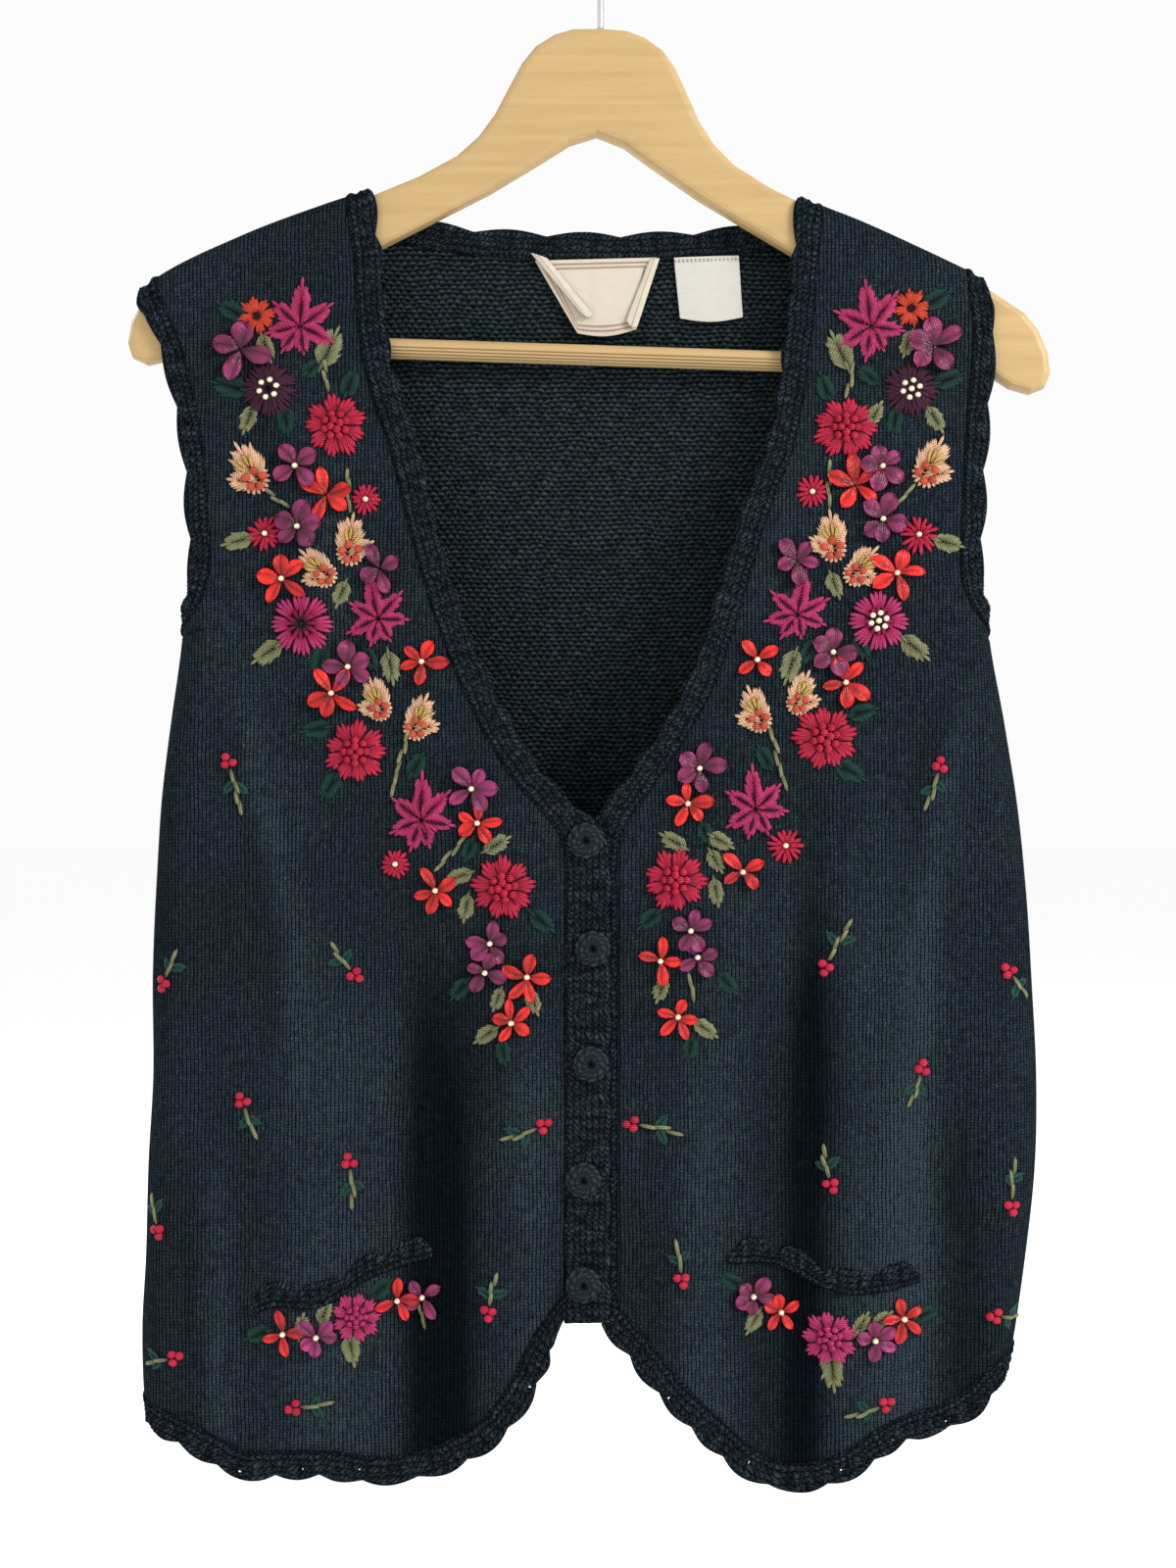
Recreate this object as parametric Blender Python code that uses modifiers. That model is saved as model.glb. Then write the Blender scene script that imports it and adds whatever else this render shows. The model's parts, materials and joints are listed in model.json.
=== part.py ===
"""Knitted vest with crochet edgings, hung on a wooden hanger.

Metres, +Z up, and the front faces -Y. The origin is the inside top of the hanger's hook.
"Right" and "left" are the wearer's, so the right front lies at -X. Tables are in millimetres,
measured from the origin, and MM turns them into metres when a mesh is made.
"""

import math

import bmesh
import bpy
import numpy as np

MM = 0.001

# Cloth: wall of the knit, wall of the crochet bands, gap left at a seam and under what lies on top
KNIT_WALL = 2.0
BAND_WALL = 2.2
SEAM_GAP = 0.35
LAID_GAP = 0.45

# Shoulder: radius of the fold over the hanger, and its height over the wood's top edge
FOLD_RADIUS = 9.4
KEEP_FADE = 12.0
SHOULDER_SEAT = 4.0

# Body: half depth at the sides, crown of the middle, angle of the side seam behind the side line
SIDE_DEPTH_TOP = 9.4
SIDE_DEPTH_HEM = 18.0
SIDE_EASE_TOP = -225.0
SIDE_EASE_LENGTH = 190.0
CROWN = 7.0
CROWN_EASE = 260.0
SEAM_ANGLE = 0.5
UNDERARM = -369.0
ARMHOLE_CURVE = 62.0
ARMHOLE_BAND = 11.5
ARMHOLE_REACH = 2.0

# Placket: each side of it is moved out or in so that the right band lies over the left one
PLACKET_LIFT = 1.4
LIFT_REACH = 62.0
LIFT_EASE = 44.0
LIFT_TOP = -395.0
LIFT_TOP_EASE = 50.0
PLACKET_TOP = -478.0
PLACKET_WIDTH = 20.4
PLACKET_FOOT = -698.5
PLACKET_EASE = 26.0
BAND_WIDTH = 11.0
END_EASE = 25.0
SCALLOP_RISE = 2.6
SCALLOP_PITCH = 22.0
ARMHOLE_PITCH = 33.0
ARMHOLE_GAP = 0.6
NECK_PITCH = 36.0

# Hanger: thickness of the board, tilt, height of its top, bar and hook
BOARD_HALF = 6.0
BOARD_ROUND = 3.5
TILT = math.radians(1.9)
BOARD_TOP = -72.0
BAR_RADIUS = 5.0
BAR_REACH = 208.0
BAR_LEVEL = -159.0
BAR_CLEARANCE = 0.3
BAR_SIDES = 20
SOCKET_END = 1.0
BOARD_SEGMENTS = 3
WIRE_RADIUS = 2.0
WIRE_SEGMENTS = 2
HOOK_INSIDE = 17.0
HOOK_FOOT_GAP = 0.3
HOOK_STEM = ((0.0, -58.0), (0.0, -48.0), (2.5, -42.0), (8.0, -37.0))
HOOK_TURN = (-40.0, 205.0)
HOOK_STEPS = 18

# Side line by height: how far the body reaches to the wearer's right and left
SIDE_LINE = (
    # height, right, left
    (-150.0, 226.0, 191.0),
    (-205.0, 225.0, 191.5),
    (-218.0, 219.0, 193.5),
    (-232.0, 214.0, 193.0),
    (-250.0, 209.5, 191.5),
    (-280.0, 204.0, 189.0),
    (-315.0, 201.5, 187.5),
    (-345.0, 202.0, 188.0),
    (-370.0, 204.5, 190.5),
    (-412.0, 210.0, 198.0),
    (-450.0, 214.5, 204.0),
    (-490.0, 217.0, 208.0),
    (-535.0, 218.5, 211.0),
    (-583.0, 218.5, 213.5),
    (-621.0, 220.5, 213.0),
    (-670.0, 222.0, 208.5),
    (-705.0, 224.0, 203.5),
    (-730.0, 223.5, 199.0),
    (-760.0, 221.0, 195.0),
)

# Seam of the neck and placket bands by height: place of each front's inner edge
INNER_EDGE = (
    # height, right, left
    (-140.0, -124.0, 109.5),
    (-160.0, -122.5, 108.5),
    (-183.0, -119.0, 106.0),
    (-207.0, -117.5, 104.5),
    (-230.0, -115.0, 102.0),
    (-254.0, -109.5, 98.5),
    (-277.0, -101.5, 94.0),
    (-310.0, -93.5, 81.5),
    (-343.0, -84.5, 71.5),
    (-371.0, -75.5, 63.0),
    (-394.0, -66.0, 54.5),
    (-420.0, -53.0, 40.5),
    (-441.0, -39.0, 26.0),
    (-456.0, -25.5, 15.0),
    (-466.0, -18.5, 9.8),
    (-478.0, -16.2, 8.3),
    (-500.0, -16.2, 8.3),
    (-760.0, -16.2, 8.3),
)

# Lower edge of each panel by distance from the centre line, without its crochet edging
RIGHT_HEM = (
    # across, height
    (16.0, -684.0),
    (25.0, -695.0),
    (34.0, -709.0),
    (43.0, -728.0),
    (55.0, -744.0),
    (71.0, -756.0),
    (88.0, -764.0),
    (104.0, -765.5),
    (132.0, -761.5),
    (155.0, -762.0),
    (171.0, -762.5),
    (184.0, -756.0),
    (200.0, -747.5),
    (220.0, -741.0),
    (250.0, -737.0),
)
LEFT_HEM = (
    # across, height
    (8.0, -692.0),
    (20.0, -704.5),
    (31.0, -719.0),
    (45.0, -734.5),
    (60.0, -749.0),
    (74.0, -762.0),
    (87.0, -768.5),
    (103.0, -766.5),
    (117.0, -761.0),
    (132.0, -751.0),
    (147.0, -744.5),
    (163.0, -741.5),
    (176.0, -734.5),
    (188.0, -723.0),
    (205.0, -715.0),
    (235.0, -711.0),
)
BACK_HEM = (
    # across, height
    (-250.0, -739.0),
    (-224.0, -738.0),
    (-190.0, -730.0),
    (-110.0, -703.0),
    (-10.0, -688.0),
    (90.0, -697.0),
    (165.0, -710.0),
    (200.0, -712.6),
    (230.0, -713.0),
)
BACK_NECK = (
    # across, height
    (-124.0, -161.5),
    (-108.0, -170.0),
    (-80.0, -177.0),
    (-40.0, -181.0),
    (0.0, -182.0),
    (35.0, -181.5),
    (70.0, -178.5),
    (95.0, -173.5),
    (109.5, -168.0),
)

# Soft folds: where each starts and ends, its half width, and how far it stands out
FRONT_FOLDS = (
    # top across, top height, foot across, foot height, half width, stands out
    (-88.0, -490.0, -86.0, -780.0, 25.0, -4.5),
    (-40.0, -520.0, -42.0, -740.0, 18.0, 3.0),
    (-150.0, -430.0, -140.0, -770.0, 26.0, 2.5),
    (-160.0, -215.0, -135.0, -330.0, 16.0, 1.5),
    (132.0, -395.0, 118.0, -770.0, 27.0, 4.5),
    (90.0, -480.0, 80.0, -770.0, 22.0, -3.5),
    (44.0, -540.0, 40.0, -750.0, 16.0, 2.0),
    (165.0, -560.0, 170.0, -740.0, 16.0, -2.5),
)
BACK_FOLDS = (
    # top across, top height, foot across, foot height, half width, stands out
    (-130.0, -330.0, -120.0, -740.0, 24.0, 4.0),
    (-70.0, -420.0, -66.0, -720.0, 18.0, -3.5),
    (-15.0, -300.0, -20.0, -700.0, 26.0, 3.0),
    (60.0, -460.0, 58.0, -710.0, 20.0, -3.5),
    (115.0, -280.0, 120.0, -720.0, 24.0, 4.0),
)

# Large embroidered flowers that stand out of the fronts: centre and radius
RAISED_FLOWERS = (
    # across, height, radius
    (-145.0, -220.0, 18.0),
    (-160.5, -250.0, 14.0),
    (-128.0, -268.0, 17.0),
    (-143.5, -364.5, 17.0),
    (-106.5, -362.0, 17.0),
    (-117.5, -425.5, 16.0),
    (-85.5, -458.5, 17.0),
    (-46.0, -490.5, 17.0),
    (131.5, -219.5, 18.0),
    (150.5, -250.0, 14.0),
    (119.0, -268.5, 17.0),
    (134.0, -362.5, 17.0),
    (94.5, -360.0, 16.0),
    (107.5, -419.0, 17.0),
    (74.5, -453.0, 18.0),
    (36.0, -487.0, 16.0),
)
FLOWER_RISE = 1.8
DOME_POWER = 1.5

# Board of the hanger: upper and lower edge of one half, in the hanger's own untilted frame
ARM_TOP = (
    # across, height below the board's top
    (107.0, -84.5),
    (131.0, -93.2),
    (153.0, -102.0),
    (173.0, -110.8),
    (195.0, -121.5),
    (212.0, -132.0),
)
NECK_TOP = (
    # across, height below the board's top
    (0.0, 0.0),
    (13.0, -0.6),
    (22.0, -3.6),
    (31.0, -9.5),
    (37.5, -18.0),
    (43.0, -29.0),
    (50.0, -43.5),
    (57.5, -54.5),
    (68.0, -64.5),
    (86.0, -75.0),
)
ARM_END = (
    # across, height below the board's top
    (219.0, -140.0),
    (224.0, -151.0),
    (225.5, -161.0),
    (223.0, -168.0),
    (216.0, -171.0),
    (206.0, -168.5),
    (197.0, -163.0),
    (150.0, -136.0),
    (106.0, -111.5),
    (84.0, -99.5),
    (51.0, -81.5),
    (27.0, -66.0),
    (13.0, -56.5),
)
ARM_FOOT = (0.0, -52.0)
NECK_RIDGE = (
    # across, height below the board's top: line that the back neck follows between the arms
    (50.0, -74.5),
    (90.0, -77.2),
)
SHOULDER_TIP = (
    # across, height below the board's top: the cloth reaches past the wood here
    (221.0, -138.5),
    (236.0, -150.0),
)

# Pocket edgings: line of the lower edge of each, and how tall it stands
POCKET_RIGHT = (
    # across, height
    (-168.0, -697.0),
    (-160.0, -693.5),
    (-132.0, -691.5),
    (-113.0, -680.0),
    (-80.5, -669.5),
)
POCKET_LEFT = (
    # across, height
    (61.5, -671.0),
    (86.0, -673.0),
    (103.0, -680.5),
    (116.0, -685.0),
    (133.0, -684.5),
    (153.0, -680.5),
)
POCKET_COLUMNS = 19
POCKET_PITCH = 46.0
POCKET_TALL = 9.5
POCKET_WALL = 2.4
POCKET_GAP = 0.75

# Buttons: centre of each and the turned profile of a half
BUTTON_PLACES = (
    # across, height
    (-7.0, -468.0),
    (-3.5, -519.5),
    (-4.5, -574.5),
    (-8.0, -630.0),
    (-8.0, -680.0),
)
BUTTON_PROFILE = (
    # radius, height over the band
    (0.0, 4.4),
    (1.4, 4.9),
    (3.6, 5.4),
    (6.1, 4.6),
    (7.7, 3.1),
    (8.25, 1.6),
    (7.4, 0.3),
    (5.6, 0.0),
    (0.0, 0.0),
)
BUTTON_STEPS = 16

# Labels inside the back neck: height, left side and right side of each row
NAME_LABEL = (
    # height, one side, other side
    (-184.0, -33.0, 28.0),
    (-196.0, -27.0, 27.0),
    (-208.0, -20.0, 22.0),
    (-219.0, -11.0, 16.0),
)
CARE_LABEL = (
    # height, one side, other side
    (-184.0, 36.5, 68.5),
    (-195.0, 37.5, 69.0),
    (-211.0, 39.5, 70.5),
)
LABEL_WALL = 1.0
LABEL_COLUMNS = 6

# Grids: angles over the shoulder, heights at the side down to the underarm, rows below, columns.
# The guesses are where the search for a column's top and hem starts, and ROUNDS how long it goes on.
FOLD_ANGLES = (1.3, 22.5, 45.0, 67.5, 90.0)
ARMHOLE_ROWS = (
    -222.0, -236.0, -250.0, -264.0, -278.0, -292.0, -306.0, -316.0, -326.0, -335.0,
    -343.0, -350.0, -356.0, -361.0, -365.0, -367.6, -369.0,
)
LOWER_ROWS = 20
FRONT_COLUMNS = np.concatenate((np.linspace(0.0, 0.79, 12), np.linspace(0.79, 1.0, 6)[1:]))
SHOULDER_SHARES = np.array((0.0, 0.09, 0.2, 0.4, 0.68, 1.0))
NECK_COLUMNS = 9
BAND_STEP = 5.6
NORMAL_STEP = 0.5
BENT_FROM = 0.06
SEAM_STEP = 10.0
TOP_GUESS = -180.0
HEM_GUESS = -730.0
ROUNDS = 8
ARMHOLE_STEP = 9.0
NECK_STEP = 7.0

COLORS = {
    "knit": (0.012, 0.019, 0.022, 1.0),
    "crochet": (0.016, 0.021, 0.025, 1.0),
    "wood": (0.72, 0.52, 0.27, 1.0),
    "metal": (0.62, 0.62, 0.63, 1.0),
    "ribbon": (0.80, 0.74, 0.62, 1.0),
}


def smoothstep(value):
    """Ease from 0 to 1 with level ends."""
    held = np.clip(value, 0.0, 1.0)
    return held * held * (3.0 - 2.0 * held)


def curve_through(table, at, column=1):
    """Read a smooth curve through a table's rows: cubic pieces with averaged slopes."""
    rows = np.array(sorted(table), dtype=float)
    knots = rows[:, 0]
    values = rows[:, column]
    slopes = np.gradient(values, knots)
    held = np.clip(at, knots[0], knots[-1])
    index = np.clip(np.searchsorted(knots, held) - 1, 0, len(knots) - 2)
    span = knots[index + 1] - knots[index]
    t = (held - knots[index]) / span
    start = (1.0 + 2.0 * t) * (1.0 - t) ** 2 * values[index]
    leave = t * (1.0 - t) ** 2 * span * slopes[index]
    end = t * t * (3.0 - 2.0 * t) * values[index + 1]
    arrive = t * t * (t - 1.0) * span * slopes[index + 1]
    return start + leave + end + arrive


def tilted(across, height):
    """Turn a point of the hanger's own frame to where the tilted hanger holds it."""
    x = across * math.cos(TILT) + height * math.sin(TILT)
    z = BOARD_TOP - across * math.sin(TILT) + height * math.cos(TILT)
    return x, z


def ridge_table():
    """Line of the shoulders and of the back neck between them, as rows of x and z."""
    half = NECK_RIDGE + ARM_TOP + SHOULDER_TIP
    rows = []
    for across, height in half:
        rows.append(tilted(across, height + SHOULDER_SEAT))
        rows.append(tilted(-across, height + SHOULDER_SEAT))
    return tuple(rows)


RIDGE = ridge_table()


def ridge(x):
    """Height of the shoulder line at x."""
    return curve_through(RIDGE, x)


def side_depth(height):
    """Half depth of the body at its sides."""
    ease = smoothstep((SIDE_EASE_TOP - height) / SIDE_EASE_LENGTH)
    return SIDE_DEPTH_TOP + (SIDE_DEPTH_HEM - SIDE_DEPTH_TOP) * ease


def flat_reach(across, height):
    """How far the front is flat before it turns round the side."""
    right = curve_through(SIDE_LINE, height, 1)
    left = curve_through(SIDE_LINE, height, 2)
    reach = np.where(across < 0.0, right, left)
    turn = smoothstep((UNDERARM + ARMHOLE_CURVE - height) / ARMHOLE_CURVE)
    return reach - ARMHOLE_REACH - (side_depth(height) - ARMHOLE_REACH) * turn


def fold_height(folds, x, height):
    """Sum of the soft folds at a point: a bell across, easing in from the top."""
    total = np.zeros(np.broadcast(x, height).shape)
    for top_x, top_z, foot_x, foot_z, width, rise in folds:
        along = (top_z - height) / (top_z - foot_z)
        middle = top_x + (foot_x - top_x) * np.clip(along, 0.0, 1.0)
        bell = np.exp(-(((x - middle) / width) ** 2))
        fade = smoothstep(along * 2.5) * smoothstep((1.6 - along) * 2.0)
        total = total + rise * bell * fade
    return total


def surface(kind, across, height):
    """Outer face of the cloth. kind is right, left or back; across is measured on the cloth.

    The section is flat, with a round end of the half depth at each side, a crown in the
    middle and the folds. Near the shoulder line it bends over the hanger.
    """
    across, height = np.broadcast_arrays(np.asarray(across, float), np.asarray(height, float))
    sign = np.where(across < 0.0, -1.0, 1.0)
    reach = flat_reach(across, height)
    past = np.clip(np.abs(across) - reach, 0.0, None)
    depth = side_depth(height)
    angle = past / depth
    x = sign * (np.minimum(np.abs(across), reach) + depth * np.sin(angle))
    below = np.clip(ridge(x) - height, 0.0, None)
    bend = np.sqrt(np.clip(FOLD_RADIUS**2 - (FOLD_RADIUS - below) ** 2, 0.0, None))
    depth = np.where(below < FOLD_RADIUS, bend, depth)
    ratio = np.clip(np.abs(x) / reach, 0.0, 1.0)
    crown = CROWN * smoothstep((below - FOLD_RADIUS) / CROWN_EASE) * (1.0 - ratio**2) ** 2
    folds = BACK_FOLDS if kind == "back" else FRONT_FOLDS
    front = np.cos(angle)
    out = depth * front + (crown + fold_height(folds, x, height)) * np.clip(front, 0.0, 1.0)
    lift = {"right": PLACKET_LIFT, "left": -PLACKET_LIFT, "back": 0.0}[kind]
    near = smoothstep((LIFT_REACH - np.abs(x)) / LIFT_EASE)
    near = near * smoothstep((LIFT_TOP - height) / LIFT_TOP_EASE)
    out = out + lift * near
    facing = 1.0 if kind == "back" else -1.0
    return np.stack((x, facing * out, height), axis=-1)


def inner_edge(kind, height):
    """Inner edge of a front at a height."""
    return curve_through(INNER_EDGE, height, 1 if kind == "right" else 2)


def seam_place(kind, sign, height):
    """Place of the side seam on a panel, measured on the cloth."""
    turn = math.pi / 2.0 + (SEAM_ANGLE if kind != "back" else -SEAM_ANGLE)
    return flat_reach(sign, height) + turn * side_depth(height)


def outer_edge(kind, sign, height):
    """Armhole edge and, under the arm, the side seam. The armhole ends in a quarter ellipse."""
    open_edge = flat_reach(sign, height) - (ARMHOLE_BAND - ARMHOLE_REACH)
    seam = seam_place(kind, sign, height) - 0.5 * SEAM_GAP
    rise = np.clip((height - UNDERARM) / ARMHOLE_CURVE, 0.0, 1.0)
    share = 1.0 - np.sqrt(np.clip(1.0 - (1.0 - rise) ** 2, 0.0, 1.0))
    return sign * (open_edge + (seam - open_edge) * share)


def row_shares(side_top, side_hem):
    """Share of each row below the shoulder fold, from the heights that the side edge needs."""
    start = side_top - FOLD_RADIUS
    below = np.linspace(UNDERARM, side_hem, LOWER_ROWS + 1)[1:]
    heights = np.concatenate((ARMHOLE_ROWS, below))
    return (heights - start) / (side_hem - start)


def row_heights(top, hem, shares):
    """Heights of each column's rows: over the shoulder, then down to the hem."""
    bend = FOLD_RADIUS * (1.0 - np.cos(np.radians(FOLD_ANGLES)))
    start = top - FOLD_RADIUS
    down = start[None, :] + shares * (hem - start)[None, :]
    return np.concatenate((top[None, :] - bend[:, None], down))


def front_across(kind, heights):
    """Places of a front's columns at given heights, from the inner to the outer edge."""
    sign = -1.0 if kind == "right" else 1.0
    inner = inner_edge(kind, heights)
    return inner + (outer_edge(kind, sign, heights) - inner) * FRONT_COLUMNS


def front_grid(kind):
    """Across and height of a front: rows from the shoulder to the hem, columns to the side."""
    table = RIGHT_HEM if kind == "right" else LEFT_HEM
    top = np.full(len(FRONT_COLUMNS), TOP_GUESS)
    hem = np.full(len(FRONT_COLUMNS), HEM_GUESS)
    for _ in range(ROUNDS):
        top = ridge(front_across(kind, top))
        hem = curve_through(table, np.abs(front_across(kind, hem)))
    heights = row_heights(top, hem, row_shares(top[-1], hem[-1])[:, None])
    return front_across(kind, heights), heights


def back_across(columns, heights):
    """Places of the back's columns at given heights, from the right to the left side."""
    right = outer_edge("back", -1.0, heights)
    left = outer_edge("back", 1.0, heights)
    return right + (left - right) * columns


def back_columns():
    """Shares of the back's columns, and the numbers of the two columns at the neck corners."""
    corners = []
    for column in (1, 2):
        place = INNER_EDGE[0][column]
        height = ridge(place)
        right = outer_edge("back", -1.0, height)
        left = outer_edge("back", 1.0, height)
        corners.append(float((place - right) / (left - right)))
    first = corners[0] * SHOULDER_SHARES
    last = 1.0 - (1.0 - corners[1]) * SHOULDER_SHARES[::-1]
    middle = np.linspace(corners[0], corners[1], NECK_COLUMNS + 1)[1:-1]
    columns = np.concatenate((first, middle, last))
    return columns, len(first) - 1, len(first) + len(middle)


def back_grid():
    """Across and height of the back, and the two neck corner columns.

    Between the corners the grid starts at the neck edge, in the row that ends the shoulder
    fold, and the rows above it are left open.
    """
    columns, first, last = back_columns()
    top = np.full(len(columns), TOP_GUESS)
    hem = np.full(len(columns), HEM_GUESS)
    for _ in range(ROUNDS):
        top = ridge(back_across(columns, top))
        hem = curve_through(BACK_HEM, back_across(columns, hem))
    neck = slice(first + 1, last)
    for _ in range(ROUNDS):
        top[neck] = curve_through(BACK_NECK, back_across(columns, top - FOLD_RADIUS)[neck])
        top[neck] = top[neck] + FOLD_RADIUS
    right = row_shares(top[0], hem[0])
    left = row_shares(top[-1], hem[-1])
    shares = right[:, None] + (left - right)[:, None] * columns[None, :]
    heights = row_heights(top, hem, shares)
    return back_across(columns, heights), heights, first, last


def quads(rows, columns, closed=False, skipped=()):
    """Faces of a grid of points, row by row; skipped cells are left open."""
    faces = []
    for row in range(rows if closed else rows - 1):
        below = (row + 1) % rows
        for column in range(columns - 1):
            if (row, column) in skipped:
                continue
            a = row * columns + column
            b = below * columns + column
            faces.append((a, b, b + 1, a + 1))
    return faces


def turned_outward(points, faces):
    """Faces in the order that makes them look away from the body's middle."""
    a, b, c, _ = (points[[face[corner] for face in faces]] for corner in range(4))
    normals = np.cross(b - a, c - a)
    middle = (a + c) / 2.0
    away = np.stack((np.zeros(len(a)), np.sign(middle[:, 1]), np.zeros(len(a))), axis=1)
    if np.sum(normals * away) < 0.0:
        return [tuple(reversed(face)) for face in faces]
    return faces


def walled(faces, count):
    """Faces of a closed wall: the outer faces, the same ones reversed inside, and the rims."""
    steps = {(face[i], face[(i + 1) % 4]) for face in faces for i in range(4)}
    rims = [(b, a, a + count, b + count) for a, b in sorted(steps) if (b, a) not in steps]
    inside = [tuple(index + count for index in reversed(face)) for face in faces]
    return list(faces) + inside + rims


def mesh_object(name, points, faces, collection, material):
    """New object from points in millimetres."""
    mesh = bpy.data.meshes.new(name)
    mesh.from_pydata((np.asarray(points) * MM).tolist(), [], faces)
    mesh.materials.append(material)
    mesh.update()
    item = bpy.data.objects.new(name, mesh)
    collection.objects.link(item)
    return item


def cloth_wall(name, outer, inner, collection, material, closed=False, skipped=()):
    """Closed wall of cloth between two grids of points."""
    rows, columns = outer.shape[:2]
    flat = outer.reshape(-1, 3)
    faces = turned_outward(flat, quads(rows, columns, closed, skipped))
    used = sorted({index for face in faces for index in face})
    place = {index: number for number, index in enumerate(used)}
    faces = [tuple(place[index] for index in face) for face in faces]
    points = np.concatenate((flat[used], inner.reshape(-1, 3)[used]))
    return mesh_object(name, points, walled(faces, len(used)), collection, material)


def face_normals(kind, across, height):
    """Outward normals of the cloth: over the shoulder fold those of a bent tube."""
    step = NORMAL_STEP
    wide = surface(kind, across + step, height) - surface(kind, across - step, height)
    tall = surface(kind, across, height + step) - surface(kind, across, height - step)
    normals = np.cross(wide, tall)
    normals /= np.linalg.norm(normals, axis=-1, keepdims=True)
    facing = 1.0 if kind == "back" else -1.0
    normals = normals * -facing
    x = surface(kind, across, height)[..., 0]
    slope = (ridge(x + step) - ridge(x - step)) / (2.0 * step)
    up = np.clip((FOLD_RADIUS - ridge(x) + height) / FOLD_RADIUS, 0.0, 1.0)
    bent = np.stack((-slope * up, facing * np.sqrt(1.0 - up**2), up), axis=-1)
    bent /= np.linalg.norm(bent, axis=-1, keepdims=True)
    return np.where((up > BENT_FROM)[..., None], bent, normals)


def flower_rise(points):
    """How far the large flowers lift a point of the fronts: a smooth dome on each."""
    rise = np.zeros(points.shape[:-1])
    for across, height, radius in RAISED_FLOWERS:
        away = ((points[..., 0] - across) ** 2 + (points[..., 2] - height) ** 2) / radius**2
        dome = FLOWER_RISE * np.clip(1.0 - away, 0.0, 1.0) ** DOME_POWER
        rise = np.maximum(rise, dome)
    return rise


def panel_wall(name, kind, across, height, wall, collection, material, **options):
    """Wall of cloth on a grid of places: its outer face on the surface, its inner face plain."""
    points = surface(kind, across, height)
    normals = face_normals(kind, across, height)
    outer = points + normals * options.pop("rise", 0.0)
    return cloth_wall(name, outer, points - normals * wall, collection, material, **options)


def make_front(name, kind, collection, material):
    """Front panel: a plain inside, and an outside raised where the large flowers are."""
    across, height = front_grid(kind)
    rise = flower_rise(surface(kind, across, height))[..., None]
    return panel_wall(name, kind, across, height, KNIT_WALL, collection, material, rise=rise)


def edge_normals(across, height, sign):
    """Directions on the cloth square to an edge: sign chooses the side."""
    step_across = np.gradient(across)
    step_height = np.gradient(height)
    length = np.hypot(step_across, step_height)
    return -sign * step_height / length, sign * step_across / length


def resampled(values, places):
    """Read values between an edge's points, in straight steps."""
    return np.interp(places, np.arange(len(values)), values)


def edge_places(across, height, step):
    """Numbers, whole at an edge's points and parts of them between, a step apart."""
    places = []
    lengths = np.hypot(np.diff(across), np.diff(height))
    for index, length in enumerate(lengths):
        parts = max(1, int(round(length / step)))
        places.extend(index + np.arange(parts) / parts)
    places.append(len(lengths))
    return np.array(places)


def scallops(across, height, rise, pitch):
    """Extra width along an edge: a row of round scallops, a whole number of them."""
    length = np.concatenate(([0.0], np.cumsum(np.hypot(np.diff(across), np.diff(height)))))
    count = max(1, round(length[-1] / pitch))
    return rise * np.abs(np.sin(math.pi * count * length / length[-1]))


def moved(across, height, away, distance):
    """Move an edge on the cloth. Near the shoulder line it stays as far below that line."""
    below = ridge(across) - height
    keep = np.clip(1.0 - (below - FOLD_RADIUS) / KEEP_FADE, 0.0, 1.0)
    new_across = across + away[0] * distance
    new_height = height + away[1] * distance + keep * (ridge(new_across) - ridge(across))
    return new_across, new_height


def band_strip(
    kind, across, height, away, width, step=BAND_STEP, pitch=SCALLOP_PITCH, gap=SEAM_GAP,
):
    """Grid of a band along an edge: a seam gap away from it, with a scalloped outer edge."""
    places = edge_places(across, height, step)
    new_away = [resampled(part, places) for part in away]
    size = np.hypot(*new_away)
    new_away = [part / size for part in new_away]
    new_across = resampled(across, places)
    new_height = resampled(height, places)
    reach = resampled(width, places) + scallops(new_across, new_height, SCALLOP_RISE, pitch)
    columns = []
    for distance in (np.full(len(places), gap), reach):
        columns.append(moved(new_across, new_height, new_away, distance))
    grid_across = np.stack([column[0] for column in columns], axis=1)
    grid_height = np.stack([column[1] for column in columns], axis=1)
    return grid_across, grid_height


def make_front_band(name, kind, collection, material):
    """Neck edging and placket of one front, in one band from the shoulder to the hem."""
    sign = 1.0 if kind == "right" else -1.0
    grid_across, grid_height = front_grid(kind)
    across = grid_across[:, 0]
    height = grid_height[:, 0]
    if kind == "right":
        foot = PLACKET_FOOT
        across = np.append(across, across[-1])
        height = np.append(height, foot)
    away_across, away_height = edge_normals(across, height, sign)
    level = np.arange(len(across)) < len(FOLD_ANGLES)
    away_height = np.where(level | (height < PLACKET_TOP), 0.0, away_height)
    share = smoothstep((PLACKET_TOP + PLACKET_EASE - height) / PLACKET_EASE)
    width = BAND_WIDTH + (PLACKET_WIDTH - BAND_WIDTH) * share
    away = (np.where(away_height == 0.0, sign, away_across), away_height)
    strip = band_strip(kind, across, height, away, width - 0.5 * SCALLOP_RISE * share)
    return panel_wall(name, kind, *strip, BAND_WALL, collection, material)


def seam_direction(kind, sign, height):
    """Direction down a side seam, on the cloth."""
    step = SEAM_STEP
    drift = outer_edge(kind, sign, height - step) - outer_edge(kind, sign, height)
    length = math.hypot(float(drift), step)
    return float(drift) / length, -step / length


def eased_end(across, away, end, direction):
    """Turn an edge's directions to a given one at one of its ends, over a short stretch."""
    share = smoothstep(np.abs(across - across[end]) / END_EASE)
    mixed = [goal + (part - goal) * share for part, goal in zip(away, direction)]
    size = np.hypot(*mixed)
    return tuple(part / size for part in mixed)


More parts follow.
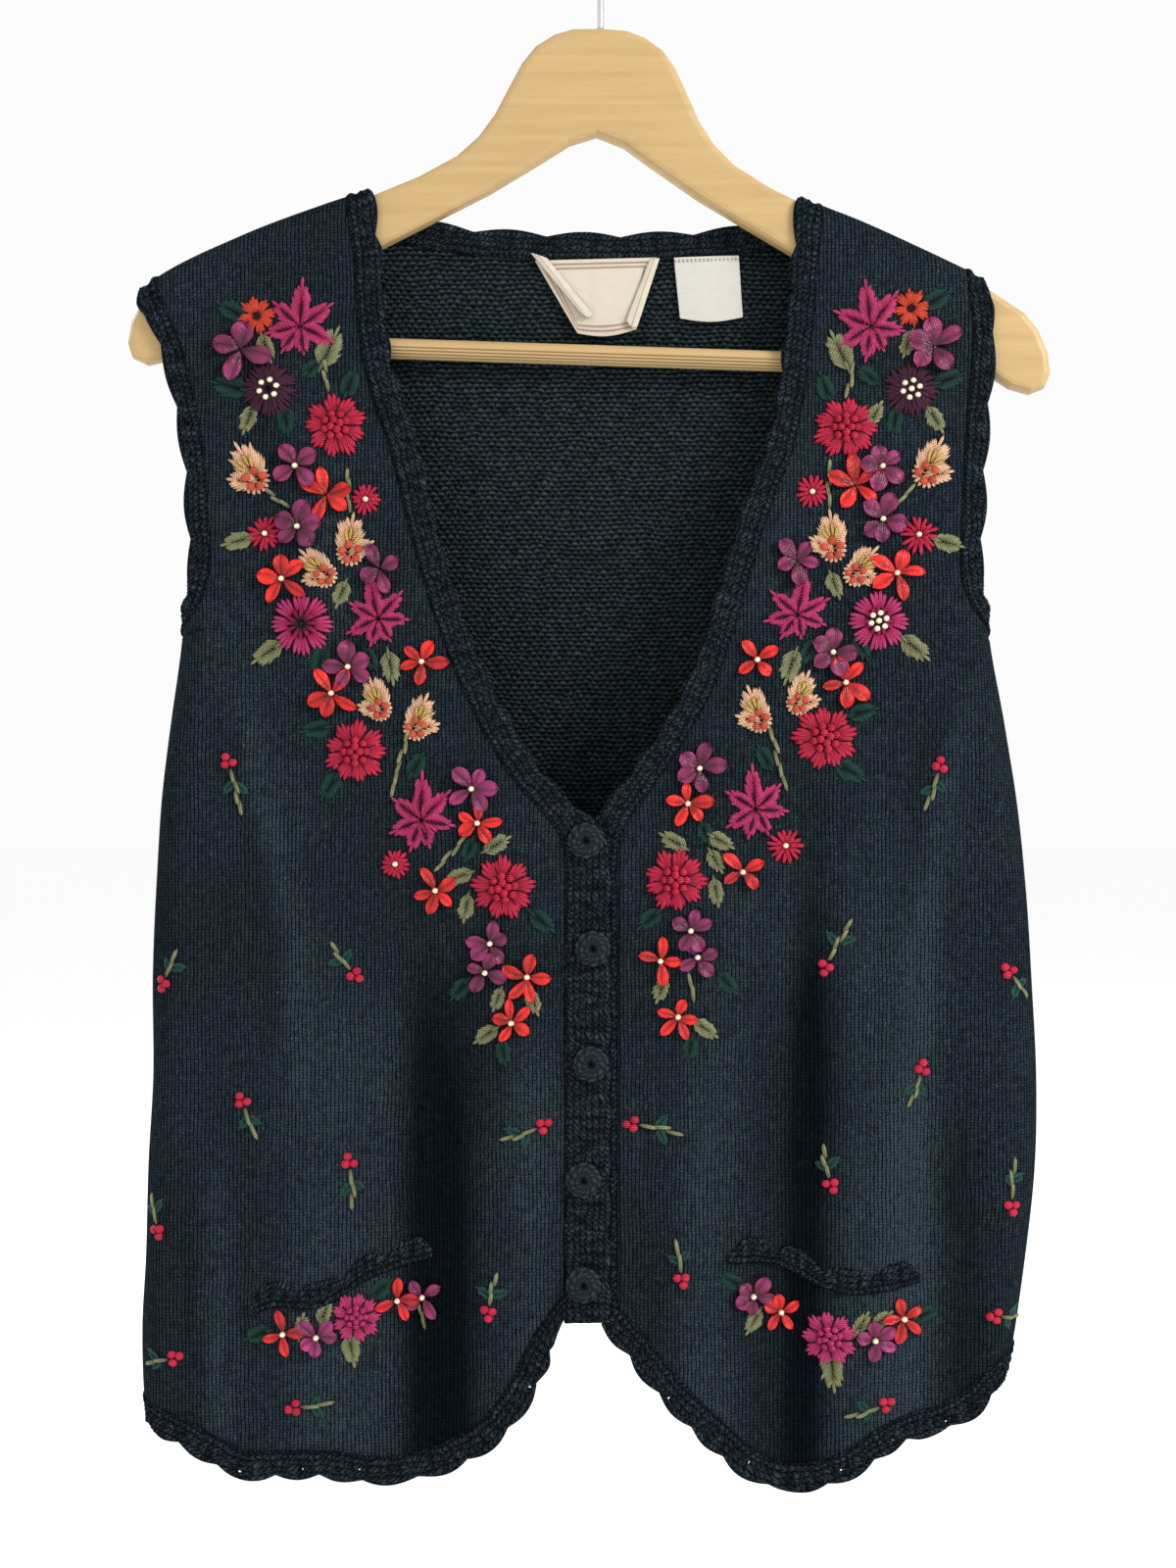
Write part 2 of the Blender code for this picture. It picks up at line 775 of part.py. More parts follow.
def make_hem_band(name, kind, collection, material):
    """Crochet edging along the hem of a panel."""
    if kind == "back":
        grid_across, grid_height, _, _ = back_grid()
    else:
        grid_across, grid_height = front_grid(kind)
    across = grid_across[-1]
    height = grid_height[-1]
    sign = 1.0 if kind == "right" else -1.0
    away = edge_normals(across, height, sign)
    if kind == "right":
        away = eased_end(across, away, 0, (0.0, -1.0))
        away = eased_end(across, away, -1, seam_direction(kind, -1.0, height[-1]))
        across = np.append(across[0] - 0.5 * SEAM_GAP, across[1:])
    elif kind == "left":
        away = eased_end(across, away, -1, seam_direction(kind, 1.0, height[-1]))
    else:
        away = eased_end(across, away, 0, seam_direction(kind, -1.0, height[0]))
        away = eased_end(across, away, -1, seam_direction(kind, 1.0, height[-1]))
    width = np.full(len(across), BAND_WIDTH)
    strip = band_strip(kind, across, height, away, width)
    return panel_wall(name, kind, *strip, BAND_WALL, collection, material)


def armhole_half(kind, sign):
    """Outer and inner faces along the armhole edge of one panel, from shoulder to underarm."""
    if kind == "back":
        grid_across, grid_height, _, _ = back_grid()
        column = 0 if sign < 0.0 else -1
    else:
        grid_across, grid_height = front_grid(kind)
        column = -1
    rows = len(FOLD_ANGLES) + len(ARMHOLE_ROWS)
    across = grid_across[:rows, column]
    height = grid_height[:rows, column]
    away_across, away_height = edge_normals(across, height, sign)
    level = np.arange(rows) < len(FOLD_ANGLES)
    away_across = np.where(level, sign, away_across)
    away_height = np.where(level, 0.0, away_height)
    away_across[-1] = 0.0
    away_height[-1] = 1.0
    width = np.full(rows, ARMHOLE_BAND - SCALLOP_RISE)
    away = (away_across, away_height)
    strip = band_strip(kind, across, height, away, width, ARMHOLE_STEP, ARMHOLE_PITCH, ARMHOLE_GAP)
    outer = surface(kind, *strip)
    return outer, outer - face_normals(kind, *strip) * BAND_WALL


def make_armhole(name, kind, collection, material):
    """Closed crochet ring of an armhole: up the front, over the shoulder, down the back."""
    sign = -1.0 if kind == "right" else 1.0
    fronts = armhole_half(kind, sign)
    backs = armhole_half("back", sign)
    outer, inner = (
        np.concatenate((front[::-1][:-1], back)) for front, back in zip(fronts, backs)
    )
    return cloth_wall(name, outer, inner, collection, material, closed=True)


def make_back(name, collection, material):
    """Back panel, open above the neck edge between its two corners."""
    across, height, first, last = back_grid()
    skipped = {
        (row, column)
        for row in range(len(FOLD_ANGLES) - 1)
        for column in range(first, last)
    }
    return panel_wall(
        name, "back", across, height, KNIT_WALL, collection, material, skipped=skipped,
    )


def make_back_neck(name, collection, material):
    """Crochet edging of the back neck, down from one shoulder, across and up to the other."""
    grid_across, grid_height, first, last = back_grid()
    fold = len(FOLD_ANGLES) - 1
    down = slice(0, fold)
    across = np.concatenate((
        grid_across[down, first], grid_across[fold, first:last + 1], grid_across[down, last][::-1],
    ))
    height = np.concatenate((
        grid_height[down, first], grid_height[fold, first:last + 1], grid_height[down, last][::-1],
    ))
    away_across, away_height = edge_normals(across, height, 1.0)
    away_across[:fold + 1] = 1.0
    away_height[:fold + 1] = 0.0
    away_across[-fold - 1:] = -1.0
    away_height[-fold - 1:] = 0.0
    width = np.full(len(across), BAND_WIDTH)
    away = (away_across, away_height)
    strip = band_strip("back", across, height, away, width, NECK_STEP, NECK_PITCH)
    return panel_wall(name, "back", *strip, BAND_WALL, collection, material)


def make_pocket_edging(name, kind, table, collection, material):
    """Scalloped edging of a welt pocket, laid on its front."""
    ends = np.array(table)
    across = np.linspace(ends[0, 0], ends[-1, 0], POCKET_COLUMNS)
    height = curve_through(table, across)
    tall = POCKET_TALL + scallops(across, height, SCALLOP_RISE, POCKET_PITCH)
    grid_across = np.stack((across, across, across), axis=1)
    grid_height = np.stack((height, height + 0.5 * tall, height + tall), axis=1)
    points = surface(kind, grid_across, grid_height)
    normals = face_normals(kind, grid_across, grid_height)
    inner = points + normals * POCKET_GAP
    return cloth_wall(name, inner + normals * POCKET_WALL, inner, collection, material)


def make_label(name, table, collection, material):
    """Label inside the back neck, hanging just clear of the knit."""
    rows = np.array(table)
    share = np.linspace(0.0, 1.0, LABEL_COLUMNS)[None, :]
    height = np.repeat(rows[:, :1], LABEL_COLUMNS, axis=1)
    across = rows[:, 1:2] + (rows[:, 2:3] - rows[:, 1:2]) * share
    points = surface("back", across, height)
    normals = face_normals("back", across, height)
    outer = points - normals * (KNIT_WALL + LAID_GAP)
    return cloth_wall(name, outer, outer - normals * LABEL_WALL, collection, material)


def make_button(name, across, height, collection, material):
    """Domed button: a turned profile about an axis square to the placket."""
    seat = surface("right", across, height)
    profile = [(radius, 0.0, rise) for radius, rise in BUTTON_PROFILE]
    edges = [(index, index + 1) for index in range(len(profile) - 1)]
    mesh = bpy.data.meshes.new(name)
    mesh.from_pydata((np.array(profile) * MM).tolist(), edges, [])
    mesh.materials.append(material)
    item = bpy.data.objects.new(name, mesh)
    item.location = (seat[0] * MM, (seat[1] - LAID_GAP) * MM, seat[2] * MM)
    item.rotation_euler = (math.pi / 2.0, 0.0, 0.0)
    collection.objects.link(item)
    turn = item.modifiers.new("Turned", "SCREW")
    turn.axis = "Z"
    turn.angle = 2.0 * math.pi
    turn.steps = BUTTON_STEPS
    turn.render_steps = BUTTON_STEPS
    turn.use_merge_vertices = True
    turn.merge_threshold = 0.1 * MM
    return item


def board_outline():
    """Outline of the hanger's board, once round, where the tilted hanger holds it."""
    half = NECK_TOP + ARM_TOP + ARM_END
    right = [tilted(across, height) for across, height in half]
    left = [tilted(-across, height) for across, height in reversed(half[1:])]
    return right + [tilted(*ARM_FOOT)] + left


def curve_mesh(curve_object, name, collection, material):
    """Mesh object of a curve, its caps welded on."""
    graph = bpy.context.evaluated_depsgraph_get()
    mesh = bpy.data.meshes.new_from_object(curve_object.evaluated_get(graph))
    mesh.name = name
    shape = bmesh.new()
    shape.from_mesh(mesh)
    bmesh.ops.remove_doubles(shape, verts=shape.verts[:], dist=0.01 * MM)
    bmesh.ops.dissolve_limit(
        shape, angle_limit=math.radians(0.5), verts=shape.verts[:], edges=shape.edges[:],
    )
    shape.to_mesh(mesh)
    shape.free()
    mesh.materials.clear()
    mesh.materials.append(material)
    item = bpy.data.objects.new(name, mesh)
    item.matrix_world = curve_object.matrix_world.copy()
    collection.objects.link(item)
    bpy.data.objects.remove(curve_object, do_unlink=True)
    return item


def make_board(collection, cutters, material):
    """Board of the hanger: its outline at full thickness, edges rounded, bar sockets cut."""
    curve = bpy.data.curves.new("Board outline", "CURVE")
    curve.dimensions = "2D"
    curve.fill_mode = "BOTH"
    curve.extrude = BOARD_HALF * MM
    points = board_outline()
    spline = curve.splines.new("POLY")
    spline.points.add(len(points) - 1)
    spline.use_cyclic_u = True
    for point, (x, z) in zip(spline.points, points):
        point.co = (x * MM, z * MM, 0.0, 1.0)
    outline = bpy.data.objects.new("Board outline", curve)
    outline.rotation_euler = (math.pi / 2.0, 0.0, 0.0)
    collection.objects.link(outline)
    bpy.context.view_layer.update()
    board = curve_mesh(outline, "hanger_body", collection, material)
    edge = board.modifiers.new("Rounded", "BEVEL")
    edge.width = BOARD_ROUND * MM
    edge.segments = BOARD_SEGMENTS
    edge.limit_method = "ANGLE"
    edge.angle_limit = math.radians(60.0)
    cutter = bar_cylinder("Bar socket", BAR_RADIUS + BAR_CLEARANCE, BAR_REACH + SOCKET_END, cutters)
    cutter.hide_render = True
    cutter.display_type = "WIRE"
    cut = board.modifiers.new("Sockets", "BOOLEAN")
    cut.operation = "DIFFERENCE"
    cut.solver = "EXACT"
    cut.object = cutter
    return board


def bar_cylinder(name, radius, reach, collection):
    """Round bar between the arms, along the tilted hanger."""
    bpy.ops.mesh.primitive_cylinder_add(vertices=BAR_SIDES, radius=radius * MM, depth=2.0 * reach * MM)
    item = bpy.context.object
    item.name = name
    item.data.name = name
    for owner in list(item.users_collection):
        owner.objects.unlink(item)
    collection.objects.link(item)
    x, z = tilted(0.0, BAR_LEVEL)
    item.location = (x * MM, 0.0, z * MM)
    item.rotation_euler = (0.0, math.pi / 2.0 + TILT, 0.0)
    return item


def make_bar(collection, material):
    """Trouser bar, its ends in the board's sockets."""
    bar = bar_cylinder("hanger_bar", BAR_RADIUS, BAR_REACH, collection)
    bar.data.materials.append(material)
    return bar


def hook_route():
    """Middle line of the wire: up from the board, round to one side, over the top and down."""
    radius = HOOK_INSIDE + WIRE_RADIUS
    route = [(0.0, BOARD_TOP + HOOK_FOOT_GAP)] + list(HOOK_STEM)
    for angle in np.radians(np.linspace(*HOOK_TURN, HOOK_STEPS)):
        route.append((radius * math.cos(angle), radius * math.sin(angle) - HOOK_INSIDE))
    return route


def make_hook(collection, material):
    """Wire hook: a bevelled curve along its middle line."""
    curve = bpy.data.curves.new("hanger_hook", "CURVE")
    curve.dimensions = "3D"
    curve.bevel_depth = WIRE_RADIUS * MM
    curve.bevel_resolution = WIRE_SEGMENTS
    curve.use_fill_caps = True
    route = hook_route()
    spline = curve.splines.new("POLY")
    spline.points.add(len(route) - 1)
    for point, (x, z) in zip(spline.points, route):
        point.co = (x * MM, 0.0, z * MM, 1.0)
    curve.materials.append(material)
    item = bpy.data.objects.new("hanger_hook", curve)
    collection.objects.link(item)
    return item


def new_material(name, key, roughness, metallic=0.0):
    """Principled material in one of the named colours."""
    material = bpy.data.materials.new(name)
    material.use_nodes = True
    shader = material.node_tree.nodes["Principled BSDF"]
    shader.inputs["Base Color"].default_value = COLORS[key]
    shader.inputs["Roughness"].default_value = roughness
    shader.inputs["Metallic"].default_value = metallic
    return material


def new_collection(name):
    """New collection in the scene."""
    collection = bpy.data.collections.new(name)
    bpy.context.scene.collection.children.link(collection)
    return collection


def main():
    """Clear the scene and make every piece."""
    for item in list(bpy.data.objects):
        bpy.data.objects.remove(item, do_unlink=True)
    parts = new_collection("Embroidered vest")
    cutters = new_collection("Cutters")

    knit = ("knit", 0.9)
    make_back("back_panel", parts, new_material("Back knit", *knit))
    make_front("right_front", "right", parts, new_material("Right front knit", *knit))
    make_front("left_front", "left", parts, new_material("Left front knit", *knit))

    crochet = ("crochet", 0.85)
    make_front_band("front_band_right", "right", parts, new_material("Right band", *crochet))
    make_front_band("front_band_left", "left", parts, new_material("Left band", *crochet))
    make_back_neck("neck_edging_back", parts, new_material("Back neck edging", *crochet))
    for kind in ("right", "left"):
        material = new_material(f"Armhole edging {kind}", *crochet)
        make_armhole(f"armhole_edging_{kind}", kind, parts, material)
    for kind in ("right", "left", "back"):
        material = new_material(f"Hem edging {kind}", *crochet)
        make_hem_band(f"hem_edging_{kind}", kind, parts, material)
    for kind, table in (("right", POCKET_RIGHT), ("left", POCKET_LEFT)):
        material = new_material(f"Pocket edging {kind}", *crochet)
        make_pocket_edging(f"pocket_edging_{kind}", kind, table, parts, material)
    for number, (across, height) in enumerate(BUTTON_PLACES, start=1):
        material = new_material(f"Button {number}", *crochet)
        make_button(f"button_{number}", across, height, parts, material)

    make_label("name_label", NAME_LABEL, parts, new_material("Name label", "ribbon", 0.7))
    make_label("care_label", CARE_LABEL, parts, new_material("Care label", "ribbon", 0.6))

    make_board(parts, cutters, new_material("Board wood", "wood", 0.45))
    make_bar(parts, new_material("Bar wood", "wood", 0.45))
    make_hook(parts, new_material("Hook wire", "metal", 0.25, 1.0))


main()
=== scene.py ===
"""Looks of a knitted, embroidered vest on a wooden hanger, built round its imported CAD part.

Metres, +Z up, the front faces -Y. Tables of the form are in millimetres, as in the CAD part,
and "right" and "left" are the wearer's. The cloth is a surface with two parameters, across and
height, and every piece of cloth, edging and embroidery is laid on that surface.
"""

import json
import logging
import math
from collections.abc import Callable
from dataclasses import dataclass, field
from enum import Enum

import bpy
import numpy as np
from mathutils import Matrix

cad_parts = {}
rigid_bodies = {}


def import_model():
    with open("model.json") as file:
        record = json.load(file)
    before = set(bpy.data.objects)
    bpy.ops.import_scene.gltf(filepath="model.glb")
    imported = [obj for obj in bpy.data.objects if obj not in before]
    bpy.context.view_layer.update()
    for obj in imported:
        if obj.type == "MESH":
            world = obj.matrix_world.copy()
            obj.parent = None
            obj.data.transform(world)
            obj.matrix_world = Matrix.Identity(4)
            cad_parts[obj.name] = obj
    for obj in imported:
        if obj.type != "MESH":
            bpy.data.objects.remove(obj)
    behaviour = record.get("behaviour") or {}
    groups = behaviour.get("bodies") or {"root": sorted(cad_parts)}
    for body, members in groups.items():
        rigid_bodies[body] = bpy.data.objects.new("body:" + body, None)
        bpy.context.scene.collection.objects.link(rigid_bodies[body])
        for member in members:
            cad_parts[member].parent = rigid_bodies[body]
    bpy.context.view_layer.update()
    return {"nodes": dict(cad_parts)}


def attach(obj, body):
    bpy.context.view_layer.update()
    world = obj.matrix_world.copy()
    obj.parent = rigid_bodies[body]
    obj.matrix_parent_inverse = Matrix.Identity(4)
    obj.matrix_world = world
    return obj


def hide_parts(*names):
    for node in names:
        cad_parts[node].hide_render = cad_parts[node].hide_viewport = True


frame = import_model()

LOG = logging.getLogger("vest")
MM = 0.001
UV_MM = 100.0
Color = tuple[float, float, float]
Grid = np.ndarray

SIDE_LINE = (
    # height, right, left
    (-150.0, 226.0, 191.0),
    (-205.0, 225.0, 191.5),
    (-218.0, 219.0, 193.5),
    (-232.0, 214.0, 193.0),
    (-250.0, 209.5, 191.5),
    (-280.0, 204.0, 189.0),
    (-315.0, 201.5, 187.5),
    (-345.0, 202.0, 188.0),
    (-370.0, 204.5, 190.5),
    (-412.0, 210.0, 198.0),
    (-450.0, 214.5, 204.0),
    (-490.0, 217.0, 208.0),
    (-535.0, 218.5, 211.0),
    (-583.0, 218.5, 213.5),
    (-621.0, 220.5, 213.0),
    (-670.0, 222.0, 208.5),
    (-705.0, 224.0, 203.5),
    (-730.0, 223.5, 199.0),
    (-760.0, 221.0, 195.0),
)
INNER_EDGE = (
    # height, right, left
    (-140.0, -124.0, 109.5),
    (-160.0, -122.5, 108.5),
    (-183.0, -119.0, 106.0),
    (-207.0, -117.5, 104.5),
    (-230.0, -115.0, 102.0),
    (-254.0, -109.5, 98.5),
    (-277.0, -101.5, 94.0),
    (-310.0, -93.5, 81.5),
    (-343.0, -84.5, 71.5),
    (-371.0, -75.5, 63.0),
    (-394.0, -66.0, 54.5),
    (-420.0, -53.0, 40.5),
    (-441.0, -39.0, 26.0),
    (-456.0, -25.5, 15.0),
    (-466.0, -18.5, 9.8),
    (-478.0, -16.2, 8.3),
    (-500.0, -16.2, 8.3),
    (-760.0, -16.2, 8.3),
)
RIGHT_HEM = (
    # across, height
    (16.0, -684.0),
    (25.0, -695.0),
    (34.0, -709.0),
    (43.0, -728.0),
    (55.0, -744.0),
    (71.0, -756.0),
    (88.0, -764.0),
    (104.0, -765.5),
    (132.0, -761.5),
    (155.0, -762.0),
    (171.0, -762.5),
    (184.0, -756.0),
    (200.0, -747.5),
    (220.0, -741.0),
    (250.0, -737.0),
)
LEFT_HEM = (
    # across, height
    (8.0, -692.0),
    (20.0, -704.5),
    (31.0, -719.0),
    (45.0, -734.5),
    (60.0, -749.0),
    (74.0, -762.0),
    (87.0, -768.5),
    (103.0, -766.5),
    (117.0, -761.0),
    (132.0, -751.0),
    (147.0, -744.5),
    (163.0, -741.5),
    (176.0, -734.5),
    (188.0, -723.0),
    (205.0, -715.0),
    (235.0, -711.0),
)
BACK_HEM = (
    # across, height
    (-250.0, -739.0),
    (-224.0, -738.0),
    (-190.0, -730.0),
    (-110.0, -703.0),
    (-10.0, -688.0),
    (90.0, -697.0),
    (165.0, -710.0),
    (200.0, -712.6),
    (230.0, -713.0),
)
BACK_NECK = (
    # across, height
    (-124.0, -161.5),
    (-108.0, -170.0),
    (-80.0, -177.0),
    (-40.0, -181.0),
    (0.0, -182.0),
    (35.0, -181.5),
    (70.0, -178.5),
    (95.0, -173.5),
    (109.5, -168.0),
)
FRONT_FOLDS = (
    # top across, top height, foot across, foot height, half width, stands out
    (-88.0, -490.0, -86.0, -780.0, 25.0, -4.5),
    (-40.0, -520.0, -42.0, -740.0, 18.0, 3.0),
    (-150.0, -430.0, -140.0, -770.0, 26.0, 2.5),
    (-160.0, -215.0, -135.0, -330.0, 16.0, 1.5),
    (132.0, -395.0, 118.0, -770.0, 27.0, 4.5),
    (90.0, -480.0, 80.0, -770.0, 22.0, -3.5),
    (44.0, -540.0, 40.0, -750.0, 16.0, 2.0),
    (165.0, -560.0, 170.0, -740.0, 16.0, -2.5),
)
BACK_FOLDS = (
    # top across, top height, foot across, foot height, half width, stands out
    (-130.0, -330.0, -120.0, -740.0, 24.0, 4.0),
    (-70.0, -420.0, -66.0, -720.0, 18.0, -3.5),
    (-15.0, -300.0, -20.0, -700.0, 26.0, 3.0),
    (60.0, -460.0, 58.0, -710.0, 20.0, -3.5),
    (115.0, -280.0, 120.0, -720.0, 24.0, 4.0),
)
CREASES = (
    # top across, top height, foot across, foot height, half width, stands out
    (-88.0, -500.0, -90.0, -770.0, 13.0, -2.2),
    (-62.0, -560.0, -60.0, -750.0, 11.0, 1.6),
    (150.0, -440.0, 138.0, -770.0, 12.0, 1.8),
    (100.0, -430.0, 92.0, -770.0, 10.0, -2.2),
    (-180.0, -380.0, -150.0, -520.0, 9.0, 1.2),
    (175.0, -380.0, 150.0, -520.0, 9.0, 1.2),
    (-190.0, -600.0, -188.0, -760.0, 10.0, 1.5),
)
RAISED_FLOWERS = (
    # across, height, radius
    (-145.0, -220.0, 18.0),
    (-160.5, -250.0, 14.0),
    (-128.0, -268.0, 17.0),
    (-143.5, -364.5, 17.0),
    (-106.5, -362.0, 17.0),
    (-117.5, -425.5, 16.0),
    (-85.5, -458.5, 17.0),
    (-46.0, -490.5, 17.0),
    (131.5, -219.5, 18.0),
    (150.5, -250.0, 14.0),
    (119.0, -268.5, 17.0),
    (134.0, -362.5, 17.0),
    (94.5, -360.0, 16.0),
    (107.5, -419.0, 17.0),
    (74.5, -453.0, 18.0),
    (36.0, -487.0, 16.0),
)
RIDGE_HALF = (
    # across, height below the board's top, in the hanger's own untilted frame
    (50.0, -74.5),
    (90.0, -77.2),
    (107.0, -84.5),
    (131.0, -93.2),
    (153.0, -102.0),
    (173.0, -110.8),
    (195.0, -121.5),
    (212.0, -132.0),
    (221.0, -138.5),
    (236.0, -150.0),
)
POCKET_RIGHT = (
    # across, height
    (-168.0, -697.0),
    (-160.0, -693.5),
    (-132.0, -691.5),
    (-113.0, -680.0),
    (-80.5, -669.5),
)
POCKET_LEFT = (
    # across, height
    (61.5, -671.0),
    (86.0, -673.0),
    (103.0, -680.5),
    (116.0, -685.0),
    (133.0, -684.5),
    (153.0, -680.5),
)
BUTTON_PLACES = (
    # across, height
    (-7.0, -468.0),
    (-3.5, -519.5),
    (-4.5, -574.5),
    (-8.0, -630.0),
    (-8.0, -680.0),
)
BUTTON_PROFILE = (
    # radius, height over the band
    (0.0, 4.4),
    (1.4, 4.9),
    (3.6, 5.4),
    (6.1, 4.6),
    (7.7, 3.1),
    (8.25, 1.6),
    (7.4, 0.3),
)
ARMHOLE_ROWS = (
    -222.0, -236.0, -250.0, -264.0, -278.0, -292.0, -306.0, -316.0, -326.0, -335.0,
    -343.0, -350.0, -356.0, -361.0, -365.0, -367.6, -369.0,
)


class Side(Enum):
    """Panels of the vest, by the name of the surface that each lies on."""

    RIGHT = "right"
    LEFT = "left"
    BACK = "back"

    @property
    def sign(self) -> float:
        """-1 on the wearer's right, 1 elsewhere."""
        return -1.0 if self is Side.RIGHT else 1.0

    @property
    def facing(self) -> float:
        """Direction in which the outside looks, along Y."""
        return 1.0 if self is Side.BACK else -1.0


class Taper(Enum):
    """How the width of a stitch changes along it."""

    YARN = "yarn"
    PETAL = "petal"
    BALL = "ball"


def smoothstep(value: Grid) -> Grid:
    """Ease from 0 to 1 with level ends."""
    held = np.clip(value, 0.0, 1.0)
    return held * held * (3.0 - 2.0 * held)


def bell(value: Grid, middle: Grid | float, width: Grid | float) -> Grid:
    """Bell curve: e to minus the square of the distance from the middle over the width."""
    return np.exp(-(((value - middle) / width) ** 2))


def greys(level: Grid) -> Grid:
    """Colours whose three parts are all the level."""
    return np.repeat(level[..., None], 3, axis=-1)


def full_turn(count: int) -> Grid:
    """Angles of points spread evenly round a circle."""
    return np.linspace(0.0, 2.0 * math.pi, count, endpoint=False)


def length_along(*parts: Grid) -> Grid:
    """Length of a line from its start to each of its points: the sum of straight steps."""
    steps = np.hypot(*(np.diff(part) for part in parts))
    return np.concatenate(([0.0], np.cumsum(steps)))


def curve_through(table: tuple, at: Grid, column: int = 1) -> Grid:
    """Read a smooth curve through a table's rows.

    Args:
        table: rows that start with the place and go on with values.
        at: places to read, held inside the table.
        column: which value of the rows to read.

    Returns:
        Values from cubic pieces whose slopes are averaged at the rows.
    """
    rows = np.array(sorted(table), dtype=float)
    knots = rows[:, 0]
    values = rows[:, column]
    slopes = np.gradient(values, knots)
    held = np.clip(at, knots[0], knots[-1])
    index = np.clip(np.searchsorted(knots, held) - 1, 0, len(knots) - 2)
    span = knots[index + 1] - knots[index]
    t = (held - knots[index]) / span
    start = (1.0 + 2.0 * t) * (1.0 - t) ** 2 * values[index]
    leave = t * (1.0 - t) ** 2 * span * slopes[index]
    end = t * t * (3.0 - 2.0 * t) * values[index + 1]
    arrive = t * t * (t - 1.0) * span * slopes[index + 1]
    return start + leave + end + arrive


def mixed(first: Color, second: Color, share: Grid) -> Grid:
    """Colours between two colours, one for each share."""
    low = np.array(first)
    high = np.array(second)
    return low + (high - low) * np.asarray(share)[..., None]


def closed_wall(faces: Grid, count: int) -> tuple[Grid, Grid, Grid]:
    """Close a sheet of faces into a wall.

    Args:
        faces: outer faces, four point numbers each.
        count: number of points of the outer side; the inner side's points follow them.

    Returns:
        Outer faces, inner faces and the rims along every open edge.
    """
    starts = faces.reshape(-1)
    ends = np.roll(faces, -1, axis=1).reshape(-1)
    edge_open = ~np.isin(starts * count + ends, ends * count + starts)
    a = starts[edge_open]
    b = ends[edge_open]
    rims = np.stack((b, a, a + count, b + count), axis=1)
    return faces, faces[:, ::-1] + count, rims


def grid_faces(rows: int, columns: int, closed: bool = False, round_too: bool = False) -> Grid:
    """Faces of a grid of points.

    Args:
        rows: number of rows of points.
        columns: number of points in a row.
        closed: whether the last row joins the first.
        round_too: whether the last column joins the first.

    Returns:
        Four point numbers for each face, in rows by columns order.
    """
    row = np.arange(rows if closed else rows - 1)[:, None]
    column = np.arange(columns if round_too else columns - 1)[None, :]
    below = (row + 1) % rows
    beside = (column + 1) % columns
    corners = (
        row * columns + column, below * columns + column,
        below * columns + beside, row * columns + beside,
    )
    return np.stack(corners, axis=-1)


